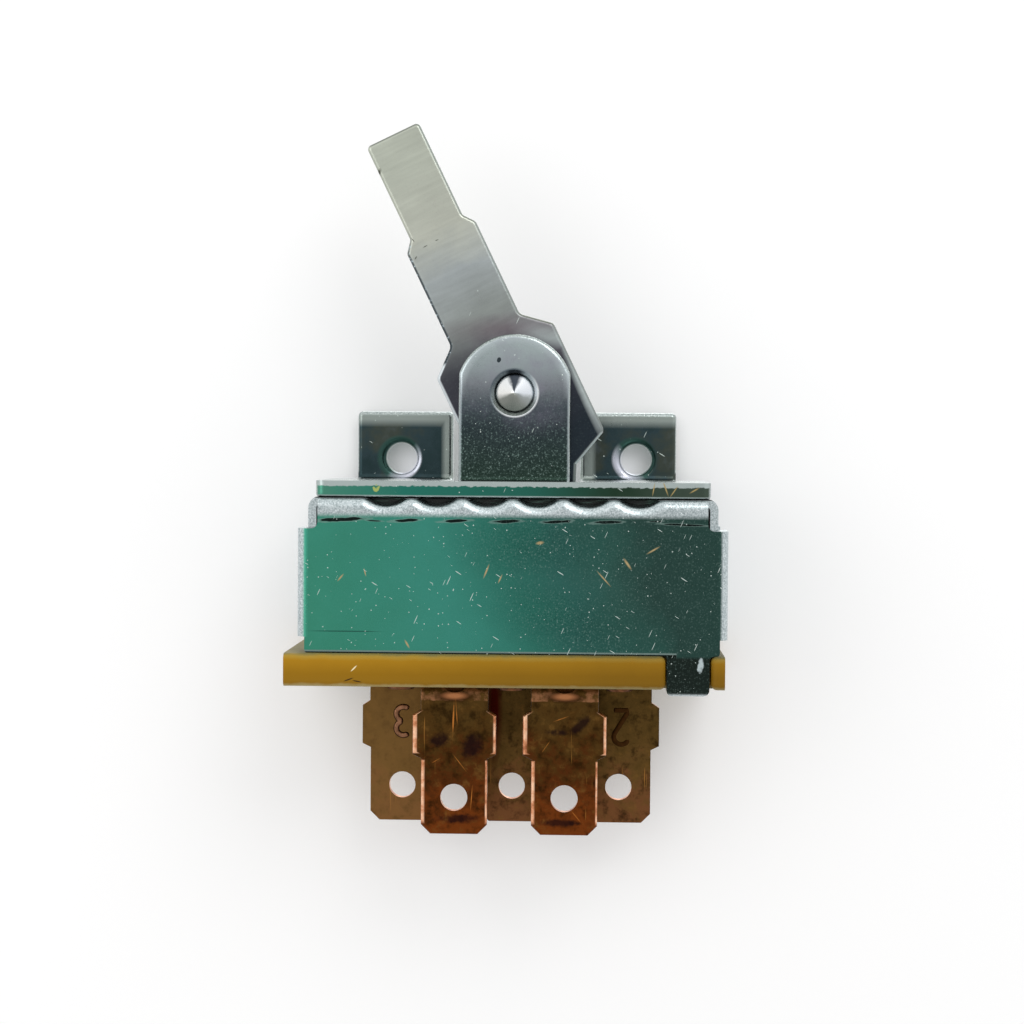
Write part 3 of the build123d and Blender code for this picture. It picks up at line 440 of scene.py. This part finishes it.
def rivet_zinc(name):
    """Turned and headed rivet under the same zinc: a polished point painted with its reflection in
    wedges from its tip, painted highlights to the left and right, painted shade above and olive grey
    below, inside a plain bright rim. The turn about the axis starts straight below the tip and goes by
    the left, so its middle is straight above."""
    material, tree, place = new_material(name)
    grain = add(tree, "TexNoise", {"Vector": place, "Scale": 1800.0, "Detail": 3.0})
    centred = add(tree, "VectorMath", {0: place, 1: (0, 0, PIVOT[2] * MM)}, operation="SUBTRACT")
    aside = add(tree, "SeparateXYZ", {0: centred}, out="X")
    turn = add(tree, "Math", {0: aside, 1: aside.node.outputs["Z"]}, operation="ARCTAN2")
    turn = add(tree, "MapRange", {"Value": turn, "From Min": -math.pi, "From Max": math.pi})
    turn = add(tree, "Math", {0: grain, 1: 0.05, 2: turn}, operation="MULTIPLY_ADD")
    painted_point_reflection = add(tree, "ValToRGB", {"Fac": turn}, [
        (0.06, "#8f928c"), (0.2, "#8b8e88"), (0.27, "#ecece8"), (0.44, "#e6e9e9"), (0.49, "#41474f"),
        (0.56, "#464c54"), (0.61, "#ecf0f4"), (0.78, "#e2e8ee"), (0.84, "#a3a9a9"), (0.95, "#92958f"),
    ])
    bump = add(tree, "Bump", {"Height": grain, "Strength": 0.15, "Distance": 0.01 * MM})
    finish_material(tree, add(tree, "BsdfPrincipled", {
        "Base Color": painted_point_reflection, "Metallic": 1.0, "Roughness": 0.22, "Normal": bump,
    }))
    return material


def laminate(name):
    """Phenolic paper laminate, punched from sheet: amber resin with faint paper layers, paler along the
    punched corners and darker to the right, with a pale scratch and dark pencil-like marks."""
    material, tree, place = new_material(name)
    level = part_of(tree, place, "Z", BOARD_BOTTOM, HOUSING_BOTTOM)
    mottle = add(tree, "TexNoise", {"Vector": place, "Scale": 600.0, "Detail": 5.0, "Roughness": 0.65})
    cloud = add(tree, "TexNoise", {"Vector": place, "Scale": 160.0, "Detail": 3.0})
    uneven = add(tree, "Math", {0: mottle, 1: 0.5}, operation="SUBTRACT")
    level = add(tree, "Math", {0: uneven, 1: 0.16, 2: level}, operation="MULTIPLY_ADD")
    resin = add(tree, "ValToRGB", {"Fac": level}, [
        (0.04, "#a3915f"), (0.12, "#8c6612"), (0.4, "#8f670c"), (0.8, "#a37713"), (0.92, "#a3832f"),
        (1.0, "#7d7345"),
    ])
    across = part_of(tree, place, "X", -21.0, 19.0)
    across = add(tree, "Math", {0: cloud, 1: 0.4, 2: across}, operation="MULTIPLY_ADD")
    shade = add(tree, "MapRange", {"Value": across, "To Min": 1.12, "To Max": 0.72})
    resin = add(tree, "Mix", {"Factor": 1.0, "A": resin, "B": shade}, data_type="RGBA", blend_type="MULTIPLY")
    scratch = spots(tree, place, BOARD_FRONT, [(-14.7, -19.65, 45, 0.06, 0.36)])
    pencil = spots(tree, place, BOARD_FRONT, [
        (-15.2, -20.7, 70, 0.06, 0.45), (-14.4, -20.85, 100, 0.06, 0.4), (16.7, -20.9, 30, 0.06, 0.15),
    ])
    resin = paint(tree, resin, [(scratch, "#e8dcb4"), (pencil, "#38260c")])
    rough = add(tree, "MapRange", {"Value": mottle, "To Min": 0.4, "To Max": 0.6})
    bump = add(tree, "Bump", {"Height": mottle, "Strength": 0.2, "Distance": 0.03 * MM})
    finish_material(tree, add(tree, "BsdfPrincipled", {
        "Base Color": resin, "Roughness": rough, "Specular IOR Level": 0.12, "Normal": bump,
    }))
    return material


def back_blade_wear(tree, place):
    """A blade of the back row is tarnished up to its edges, with a painted dull red reflection beside the
    front blades and a paler far left. Gives where the tarnish lies, and the coats over it."""
    # Painted dull red reflection of the front blades' copper
    glow = spots(tree, place, BACK_ROW_FACE, [(-2.1, -25.0, 0, 0.6, 4.2)], 0.5)
    pale = add(tree, "MapRange", {
        "Value": add(tree, "SeparateXYZ", {0: place}, out="X"),
        "From Min": -8.0 * MM, "From Max": -9.5 * MM, "To Max": 0.45,
    })
    return turned_away(tree, 0.3, 0.6), [(glow, "#46120a"), (pale, "#8f6a3c")]


def front_blade_wear(tree, place, patch, middle, gold, stains):
    """A blade of the front row, given its middle along X: its edges are rubbed 0.3 mm in, save at its top,
    shoulder and tip, and its bend is scuffed pale and painted with a highlight, about a gusset in painted
    shadow with a painted highlight on a lump. The gold scratches and the dark stains are its own marks.
    Gives where the tarnish lies, and the coats over it."""
    # Half the tarnished width is 2.88 mm, and 3.62 mm at the wide part
    wide = add(tree, "Math", {
        0: part_of(tree, place, "Z", -28.6, -28.2), 1: part_of(tree, place, "Z", -24.1, -24.5),
    }, operation="MINIMUM")
    half = add(tree, "MapRange", {"Value": wide, "To Min": 2.88 * MM, "To Max": 3.62 * MM})
    aside = add(tree, "SeparateXYZ", {0: place}, out="X")
    aside = add(tree, "Math", {0: aside, 1: (middle + 0.08) * MM}, operation="SUBTRACT")
    aside = add(tree, "Math", {0: aside}, operation="ABSOLUTE")
    inside = add(tree, "Math", {0: aside, 1: half}, operation="SUBTRACT")
    inside = add(tree, "MapRange", {"Value": inside, "To Min": 1.0, "To Max": 0.0, "From Max": 0.12 * MM})
    tinted = add(tree, "Math", {0: turned_away(tree, 0.97, 0.999), 1: inside}, operation="MINIMUM")
    spared = spots(tree, place, FRONT_ROW_FACE, [
        (middle, z, 0, 12.0, reach) for z, reach in ((-22.6, 1.9), (-28.65, 0.35), (-36.0, 1.05))
    ], 0.15)
    tinted = add(tree, "Math", {0: tinted, 1: spared}, operation="MAXIMUM")
    # Scuffed bend with a painted highlight; the gusset's recess in painted shadow, and its lump with a painted
    # highlight
    scuff_and_highlight = part_of(tree, place, "Z", -23.7, -23.2)
    scuff_and_highlight = add(tree, "Math", {0: scuff_and_highlight, 1: patch}, operation="ADD")
    scuff_and_highlight = add(tree, "MapRange", {"Value": scuff_and_highlight, "From Min": 1.42, "From Max": 1.56, "To Max": 0.8})
    recess_shadow = spots(tree, place, FRONT_ROW_FACE, [(middle, -22.8, 0, 1.7, 0.5)], 0.35)
    lump_highlight = spots(tree, place, FRONT_ROW_FACE, [(middle, -22.75, 0, 1.0, 0.3)], 0.5)
    stained = spots(tree, place, FRONT_ROW_FACE, stains, 0.6)
    stained = add(tree, "Math", {0: stained, 1: patch}, operation="MULTIPLY")
    stained = add(tree, "MapRange", {"Value": stained, "From Min": 0.2, "From Max": 0.45, "To Max": 0.8})
    scratches = spots(tree, place, FRONT_ROW_FACE, gold, 0.5)
    scratches = add(tree, "Math", {0: scratches, 1: patch}, operation="MULTIPLY")
    scratches = add(tree, "MapRange", {"Value": scratches, "From Min": 0.3, "From Max": 0.6, "To Max": 0.7})
    return tinted, [
        (scuff_and_highlight, "#a2704e"), (recess_shadow, "#38200e"), (lump_highlight, "#b87a50"), (stained, "#1d0f12"),
        (scratches, "#e08c40"),
    ]


def copper_strip(name, tones, front=None):
    """Rolled copper strip, blanked and bent: faces tarnished olive to rust brown with dark patches and fine
    bright hairs along the blade, while rolled edges and bends are rubbed back to pink copper that brightens
    to a painted highlight. The tones run from the tip to the board; front is a front blade's middle, gold
    scratches and stains."""
    material, tree, place = new_material(name)
    stain = add(tree, "TexNoise", {"Vector": place, "Scale": 420.0, "Detail": 6.0, "Roughness": 0.72})
    height = part_of(tree, place, "Z", BLADE_TIPS, BOARD_BOTTOM)
    uneven = add(tree, "Math", {0: stain, 1: 0.5}, operation="SUBTRACT")
    height = add(tree, "Math", {0: uneven, 1: 1.6, 2: height}, operation="MULTIPLY_ADD")
    patch = add(tree, "TexNoise", {"Vector": place, "Scale": 800.0, "Detail": 5.0, "Roughness": 0.65})
    dark = add(tree, "MapRange", {"Value": patch, "From Min": 0.5, "From Max": 0.66, "To Max": 0.75})
    light = add(tree, "MapRange", {"Value": patch, "From Min": 0.44, "From Max": 0.3, "To Max": 0.5})
    drawn = add(tree, "Mapping", {"Vector": place, "Scale": (3600.0, 900.0, 150.0)})
    hair = add(tree, "TexNoise", {"Vector": drawn, "Scale": 1.0, "Detail": 2.0})
    hair = add(tree, "MapRange", {"Value": hair, "From Min": 0.71, "From Max": 0.77, "To Max": 0.6})
    if front:
        tinted, coats = front_blade_wear(tree, place, patch, *front)
    else:
        tinted, coats = back_blade_wear(tree, place)
    face = add(tree, "ValToRGB", {"Fac": height}, tones)
    face = paint(tree, face, [(dark, "#261808"), (light, "#7d5a2c"), (hair, "#b8803e")] + coats)
    # Rubbed pink copper on edges and bends, brightening to a painted highlight
    rubbed = add(tree, "ValToRGB", {"Fac": patch}, [(0.3, "#96593a"), (0.45, "#d9936a"), (0.62, "#ffceaa")])
    rough = add(tree, "MapRange", {"Value": stain, "To Min": 0.25, "To Max": 0.5})
    bump = add(tree, "Bump", {"Height": patch, "Strength": 0.25, "Distance": 0.02 * MM})
    finish_material(tree, add(tree, "BsdfPrincipled", {
        "Base Color": paint(tree, rubbed, [(tinted, face)]), "Metallic": 1.0, "Roughness": rough,
        "Normal": bump,
    }))
    return material


def contact_metal(name):
    """Copper contact rivet with a silver face: silver above the board, rubbed copper at the headed tail."""
    material, tree, place = new_material(name)
    level = part_of(tree, place, "Z", HOUSING_BOTTOM - 0.2, HOUSING_BOTTOM)
    grain = add(tree, "TexNoise", {"Vector": place, "Scale": 1500.0, "Detail": 3.0})
    tail = add(tree, "ValToRGB", {"Fac": grain}, [(0.3, "#4a2c18"), (0.7, "#8a5a3a")])
    face = add(tree, "ValToRGB", {"Fac": grain}, [(0.3, "#a5a5a0"), (0.7, "#d4d4cf")])
    bump = add(tree, "Bump", {"Height": grain, "Strength": 0.2, "Distance": 0.01 * MM})
    finish_material(tree, add(tree, "BsdfPrincipled", {
        "Base Color": paint(tree, tail, [(level, face)]), "Metallic": 1.0, "Roughness": 0.3, "Normal": bump,
    }))
    return material


def spring_steel(name):
    """Bright drawn and rolled spring steel with a fine matt grain."""
    material, tree, place = new_material(name)
    grain = add(tree, "TexNoise", {"Vector": place, "Scale": 1500.0, "Detail": 3.0})
    colour = add(tree, "ValToRGB", {"Fac": grain}, [(0.3, "#7c7f82"), (0.7, "#a9adb0")])
    bump = add(tree, "Bump", {"Height": grain, "Strength": 0.15, "Distance": 0.01 * MM})
    finish_material(tree, add(tree, "BsdfPrincipled", {
        "Base Color": colour, "Metallic": 1.0, "Roughness": 0.3, "Normal": bump,
    }))
    return material


def moulded_nylon(name):
    """Natural nylon, moulded: milky and slightly rough."""
    material, tree, place = new_material(name)
    cloud = add(tree, "TexNoise", {"Vector": place, "Scale": 300.0, "Detail": 3.0})
    colour = add(tree, "ValToRGB", {"Fac": cloud}, [(0.3, "#d8d2c0"), (0.7, "#e6e1d2")])
    rough = add(tree, "MapRange", {"Value": cloud, "To Min": 0.38, "To Max": 0.55})
    bump = add(tree, "Bump", {"Height": cloud, "Strength": 0.1, "Distance": 0.02 * MM})
    finish_material(tree, add(tree, "BsdfPrincipled", {
        "Base Color": colour, "Roughness": rough, "Normal": bump,
    }))
    return material


def stamped_copper(name, middle, side):
    """Copper pushed up by the stamp, with light and shade painted on: the crown of each stroke takes one
    colour as a painted highlight and its flanks another as painted shade.
    """
    material, tree, place = new_material(name)
    grain = add(tree, "TexNoise", {"Vector": place, "Scale": 2400.0, "Detail": 2.0})
    crown = add(tree, "Mix", {"Factor": grain, "A": middle, "B": side}, data_type="RGBA")
    faced = turned_away(tree, 0.86, 0.97)
    colour = add(tree, "Mix", {"Factor": faced, "A": side, "B": crown}, data_type="RGBA")
    bump = add(tree, "Bump", {"Height": grain, "Strength": 0.2, "Distance": 0.01 * MM})
    finish_material(tree, add(tree, "BsdfPrincipled", {
        "Base Color": colour, "Metallic": 1.0, "Roughness": 0.35, "Normal": bump,
    }))
    return material


def painted_hollow_shade(name):
    """Painted shade, near black, dragged into streaks of painted green reflection."""
    material, tree, place = new_material(name)
    streaks = add(tree, "Mapping", {"Vector": place, "Scale": (500.0, 500.0, 5000.0)})
    streaks = add(tree, "TexNoise", {"Vector": streaks, "Scale": 1.0, "Detail": 3.0})
    colour = add(tree, "ValToRGB", {"Fac": streaks}, [(0.45, "#070908"), (0.6, "#1b2923"), (0.7, "#466056")])
    rough = add(tree, "MapRange", {"Value": streaks, "To Min": 0.4, "To Max": 0.6})
    bump = add(tree, "Bump", {"Height": streaks, "Strength": 0.2, "Distance": 0.02 * MM})
    finish_material(tree, add(tree, "BsdfPrincipled", {
        "Base Color": colour, "Roughness": rough, "Normal": bump,
    }))
    return material


# Bare zinc, from its dark grains to its bright ones
SILVER = [(0.3, "#8f9c9e"), (0.5, "#bec9cb"), (0.7, "#e2eaec")]
DULL_SILVER = [(0.3, "#7d8887"), (0.5, "#aab4b2"), (0.7, "#cdd5d3")]
cover("housing", zinc_plate("zinc_plate_painted_green_reflection", housing_tint_and_painted_light, 0.9, SILVER))
cover("mounting_bracket", zinc_plate("zinc_plate_painted_teal_reflection", bracket_tint_and_painted_light, 0.35, DULL_SILVER))
cover("lever", zinc_plate("zinc_plate_pale_painted_light", lever_tint_and_painted_light, 0.05, roughness=0.32))
cover("pivot_rivet", rivet_zinc("zinc_plate_turned_painted_reflection"))
cover("terminal_board", laminate("phenolic_laminate_amber"))

# Tarnish from a blade's tip up to the board
FRONT_TONES = [(0.05, "#743a16"), (0.35, "#542c12"), (0.6, "#503617"), (1.0, "#543e1d")]
BACK_TONES = [(0.05, "#754c2e"), (0.35, "#664b27"), (0.6, "#5c4522"), (1.0, "#4f3c1c")]
# Each front blade: its middle along X, its gold scratches and its dark stains, as marks for spots()
FRONT_BLADES = {
    1: (
        -5.6,
        [(-5.7, -25.2, 2, 0.09, 2.6), (-5.4, -24.2, -4, 0.05, 1.6), (-5.0, -29.3, -38, 0.05, 1.3),
         (-7.3, -29.0, 60, 0.05, 0.6), (-3.9, -32.5, 4, 0.05, 1.6)],
        [(-3.9, -27.7, 20, 1.0, 1.3), (-6.9, -27.0, 80, 0.7, 1.2), (-5.2, -34.6, 90, 0.5, 2.4)],
    ),
    2: (
        5.0,
        [(6.1, -34.2, -40, 0.05, 1.0), (4.6, -24.9, 70, 0.06, 1.0), (3.2, -27.6, 35, 0.05, 0.7)],
        [(6.6, -25.4, 50, 0.5, 1.3), (4.2, -26.2, 90, 0.35, 1.1), (4.4, -34.9, 90, 0.4, 2.2)],
    ),
}
for number, blade in FRONT_BLADES.items():
    cover(f"terminal_{number}", copper_strip(f"copper_strip_front_{number}", FRONT_TONES, blade))
copper = copper_strip("copper_strip_tarnished", BACK_TONES)
for name in ("terminal_3", "terminal_4", "terminal_5", "contact_bridge"):
    cover(name, copper)
silver_faced = contact_metal("contact_rivet_silver_faced")
for number in range(1, 6):
    cover(f"contact_rivet_{number}", silver_faced)
spring = spring_steel("spring_steel_bright")
for name in ("bowed_washer", "leaf_spring", "detent_spring_1", "detent_spring_2",
             "detent_ball_1", "detent_ball_2"):
    cover(name, spring)
cover("carriage", moulded_nylon("moulded_nylon_natural"))


def new_piece(name, vertices, faces, material):
    """Makes a piece of vertices, in millimetres, and faces, in one material."""
    mesh = bpy.data.meshes.new(name)
    mesh.from_pydata((vertices * MM).tolist(), [], faces)
    mesh.update()
    mesh.materials.append(material)
    piece = bpy.data.objects.new(name, mesh)
    bpy.context.scene.collection.objects.link(piece)
    return piece


def stamped_stroke(line, width, height, face_y):
    """Half-round ridge along a line of (x, z) points. At a share s of the line and an angle t across it,
    the point is the line's point plus the line's normal times half the width times cos t, and stands
    out of the face by the height times sin t; both are also multiplied by sqrt(min(s, 1 - s) / 0.06),
    but by no more than 1, which rounds off the ends."""
    line = np.asarray(line, float)
    step = np.gradient(line, axis=0)
    step /= np.linalg.norm(step, axis=1)[:, None]
    side = np.stack([-step[:, 1], step[:, 0]], axis=1)
    share = np.linspace(0, 1, len(line))
    taper = np.sqrt(np.clip(np.minimum(share, 1 - share) / 0.06, 0, 1))[:, None]
    angle = np.linspace(0, np.pi, 9)[None, :]
    across = width / 2 * taper * np.cos(angle)
    out = height * taper * np.sin(angle)
    points = np.stack([
        line[:, :1] + side[:, :1] * across,
        face_y + 0.01 - out,
        line[:, 1:] + side[:, 1:] * across,
    ], axis=-1)
    rows, columns = points.shape[:2]
    first = (np.arange(rows - 1)[:, None] * columns + np.arange(columns - 1)[None, :]).ravel()
    faces = np.stack([first, first + 1, first + columns + 1, first + columns], axis=1)
    return points.reshape(-1, 3), faces


def arc(centre, radius, start, end, count=24):
    """Points of an arc from one angle to another, in degrees anticlockwise from the right."""
    turn = np.radians(np.linspace(start, end, count))
    return np.stack([centre[0] + radius * np.cos(turn), centre[1] + radius * np.sin(turn)], axis=1)


def stamped_digit(name, body, strokes, centre, width, height, material):
    """Digit struck into a back blade, upside down: its strokes turned by half a turn about their centre."""
    vertices, faces, count = [], [], 0
    for stroke in strokes:
        placed = np.asarray(centre) - np.asarray(stroke)
        points, quads = stamped_stroke(placed, width, height, BACK_ROW_FACE)
        vertices.append(points)
        faces.append(quads + count)
        count += len(points)
    digit = new_piece(name, np.concatenate(vertices), np.concatenate(faces).tolist(), material)
    digit.data.polygons.foreach_set("use_smooth", np.ones(len(digit.data.polygons), bool))
    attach(digit, body)


def hollow_shade_fill(name, depth, front, back, material):
    """A dark filler of painted shade in the six hollows between the plate and the roof. At a place x of its
    path it reaches from the plate down to the roof, whose top lies depth * (1 - cos(2 pi x / pitch)) / 2
    below the crests, and 0.2 mm into the sheet; its ring goes round from the plate by a rounded front and
    the back."""
    x = np.linspace(-3, 3, 241)[:, None] * DETENT_PITCH * 0.995
    reach = 0.22 + depth * (1 - np.cos(2 * np.pi * x / DETENT_PITCH)) / 2
    share = np.array([0, 0.25, 0.5, 0.75, 1, 1, 0])[None, :]
    y = np.array([front + 0.2, front + 0.05, front, front + 0.05, front + 0.2, back, back])[None, :]
    points = np.stack([x + 0 * y, y + 0 * x, CREST_TOP + 0.02 - reach * share], axis=-1)
    rows, columns = points.shape[:2]
    across = np.arange(columns)
    first = np.arange(rows - 1)[:, None] * columns
    quads = np.stack([first + across, first + columns + across, first + columns + (across + 1) % columns,
                      first + (across + 1) % columns], axis=-1).reshape(-1, 4)
    ends = [across.tolist(), ((rows - 1) * columns + across[::-1]).tolist()]
    painted_shadow = new_piece(name, points.reshape(-1, 3), quads.tolist() + ends, material)
    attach(painted_shadow, "base")


THREE = [arc((0, 0.72), 0.7, 140, -90), arc((0, -0.72), 0.7, 90, -140)]
TWO = [
    np.concatenate([arc((0, 0.95), 0.75, 160, -35), np.linspace((0.55, 0.4), (-0.75, -1.7), 16)]),
    np.linspace((-0.75, -1.7), (0.8, -1.7), 16),
]
# The three's crown has a bright painted highlight over flanks in painted shade; the two's crown and flanks are
# both dark
stamped_digit("stamped_three", "base", THREE, (-11.15, -26.2), 0.6, 0.12,
              stamped_copper("copper_struck_bright", "#c08a68", "#1d0f05"))
stamped_digit("stamped_two", "base", TWO, (10.55, -26.6), 0.5, 0.05,
              stamped_copper("copper_struck_dark", "#4a2e14", "#2a180a"))
hollow_shade_fill("hollow_shade_sheet", 0.7, -17.4, -15.5, painted_hollow_shade("painted_hollow_shade"))

# Camera: where the photograph was taken from, fitted to points on the object
CAMERA_PLACE = (7.160, -228.638, 1.004)
CAMERA_YAW, CAMERA_PITCH, CAMERA_ROLL = (math.radians(a) for a in (1.965, -1.618, 0.411))
FOCAL_PIXELS = 2242.8
IMAGE_PIXELS = 1024
LAMP_AIM = (0, 0, -5)


def make_camera():
    """Camera whose axes are turned by the fitted yaw, pitch and roll."""
    ahead = Vector((
        -math.sin(CAMERA_YAW) * math.cos(CAMERA_PITCH),
        math.cos(CAMERA_YAW) * math.cos(CAMERA_PITCH),
        math.sin(CAMERA_PITCH),
    ))
    level = Vector((math.cos(CAMERA_YAW), math.sin(CAMERA_YAW), 0))
    upright = level.cross(ahead)
    right = math.cos(CAMERA_ROLL) * level + math.sin(CAMERA_ROLL) * upright
    up = math.cos(CAMERA_ROLL) * upright - math.sin(CAMERA_ROLL) * level
    data = bpy.data.cameras.new("camera")
    data.sensor_width = 36.0
    data.lens = FOCAL_PIXELS / IMAGE_PIXELS * data.sensor_width
    data.clip_start = 0.01
    data.clip_end = 20.0
    camera = bpy.data.objects.new("camera", data)
    camera.matrix_world = Matrix((
        (right.x, up.x, -ahead.x, CAMERA_PLACE[0] * MM),
        (right.y, up.y, -ahead.y, CAMERA_PLACE[1] * MM),
        (right.z, up.z, -ahead.z, CAMERA_PLACE[2] * MM),
        (0, 0, 0, 1),
    ))
    bpy.context.scene.collection.objects.link(camera)
    bpy.context.scene.camera = camera


def make_floor():
    """Pale table that the switch lies on, seen from above as in the photograph: it shows shadows to
    the camera and nothing from behind, so that the switch is seen from the back as well. A faint glow,
    for the camera alone, lifts its shadows."""
    half, back = 1.5, 0.6 * MM
    mesh = bpy.data.meshes.new("floor")
    mesh.from_pydata([(-half, back, -half), (half, back, -half), (half, back, half), (-half, back, half)],
                     [], [(0, 1, 2, 3)])
    floor = bpy.data.objects.new("floor", mesh)
    bpy.context.scene.collection.objects.link(floor)
    material, tree, _ = new_material("floor_pale")
    matt = add(tree, "BsdfDiffuse", {"Color": (0.85, 0.85, 0.85, 1.0)})
    by_camera = add(tree, "LightPath", out="Is Camera Ray")
    glow = add(tree, "Math", {0: by_camera, 1: 0.12}, operation="MULTIPLY")
    glow = add(tree, "Emission", {"Color": (1.0, 1.0, 1.0, 1.0), "Strength": glow})
    matt = add(tree, "AddShader", {0: matt, 1: glow})
    clear = add(tree, "BsdfTransparent")
    from_back = add(tree, "NewGeometry", out="Backfacing")
    finish_material(tree, add(tree, "MixShader", {0: from_back, 1: matt, 2: clear}))
    mesh.materials.append(material)
    floor.visible_diffuse = False
    floor.visible_glossy = False
    floor.visible_shadow = False
    floor.visible_transmission = False


def make_lamp(name, place, size, power):
    """Soft round lamp at a place, turned to the lamps' aim, in millimetres and watts."""
    data = bpy.data.lights.new(name, "AREA")
    data.shape = "DISK"
    data.size = size * MM
    data.energy = power
    lamp = bpy.data.objects.new(name, data)
    start, end = Vector(place) * MM, Vector(LAMP_AIM) * MM
    lamp.location = start
    lamp.rotation_euler = (end - start).to_track_quat("-Z", "Y").to_euler()
    bpy.context.scene.collection.objects.link(lamp)


def make_world():
    """White studio: white to the camera, and otherwise a soft sky, a little dimmer below and where the
    camera stands."""
    world = bpy.data.worlds.new("studio")
    bpy.context.scene.world = world
    world.use_nodes = True
    tree = world.node_tree
    tree.nodes.clear()
    by_camera = add(tree, "LightPath", out="Is Camera Ray")
    height = add(tree, "SeparateXYZ", {0: add(tree, "TexCoord", out="Generated")}, out="Z")
    sky = add(tree, "MapRange", {
        "Value": height, "From Min": -1.0, "From Max": 1.0, "To Min": 0.75, "To Max": 1.1,
    })
    towards = add(tree, "MapRange", {
        "Value": height.node.outputs["Y"], "From Min": -1.0, "From Max": -0.8, "To Min": 0.8, "To Max": 1.0,
    })
    sky = add(tree, "Math", {0: sky, 1: towards}, operation="MULTIPLY")
    seen = add(tree, "Mix", {"Factor": by_camera, "A": sky, "B": 1.0}, data_type="FLOAT")
    light = add(tree, "Background", {"Color": (1.0, 1.0, 1.0, 1.0), "Strength": seen})
    output = tree.nodes.new("ShaderNodeOutputWorld")
    tree.links.new(light, output.inputs["Surface"])


make_camera()
make_floor()
make_world()
make_lamp("key_lamp", (130, -260, 230), 200, 0.24)
make_lamp("fill_lamp", (-220, -240, 60), 220, 0.12)
make_lamp("back_lamp", (60, 260, 220), 260, 0.3)
bpy.context.scene.view_settings.view_transform = "Standard"
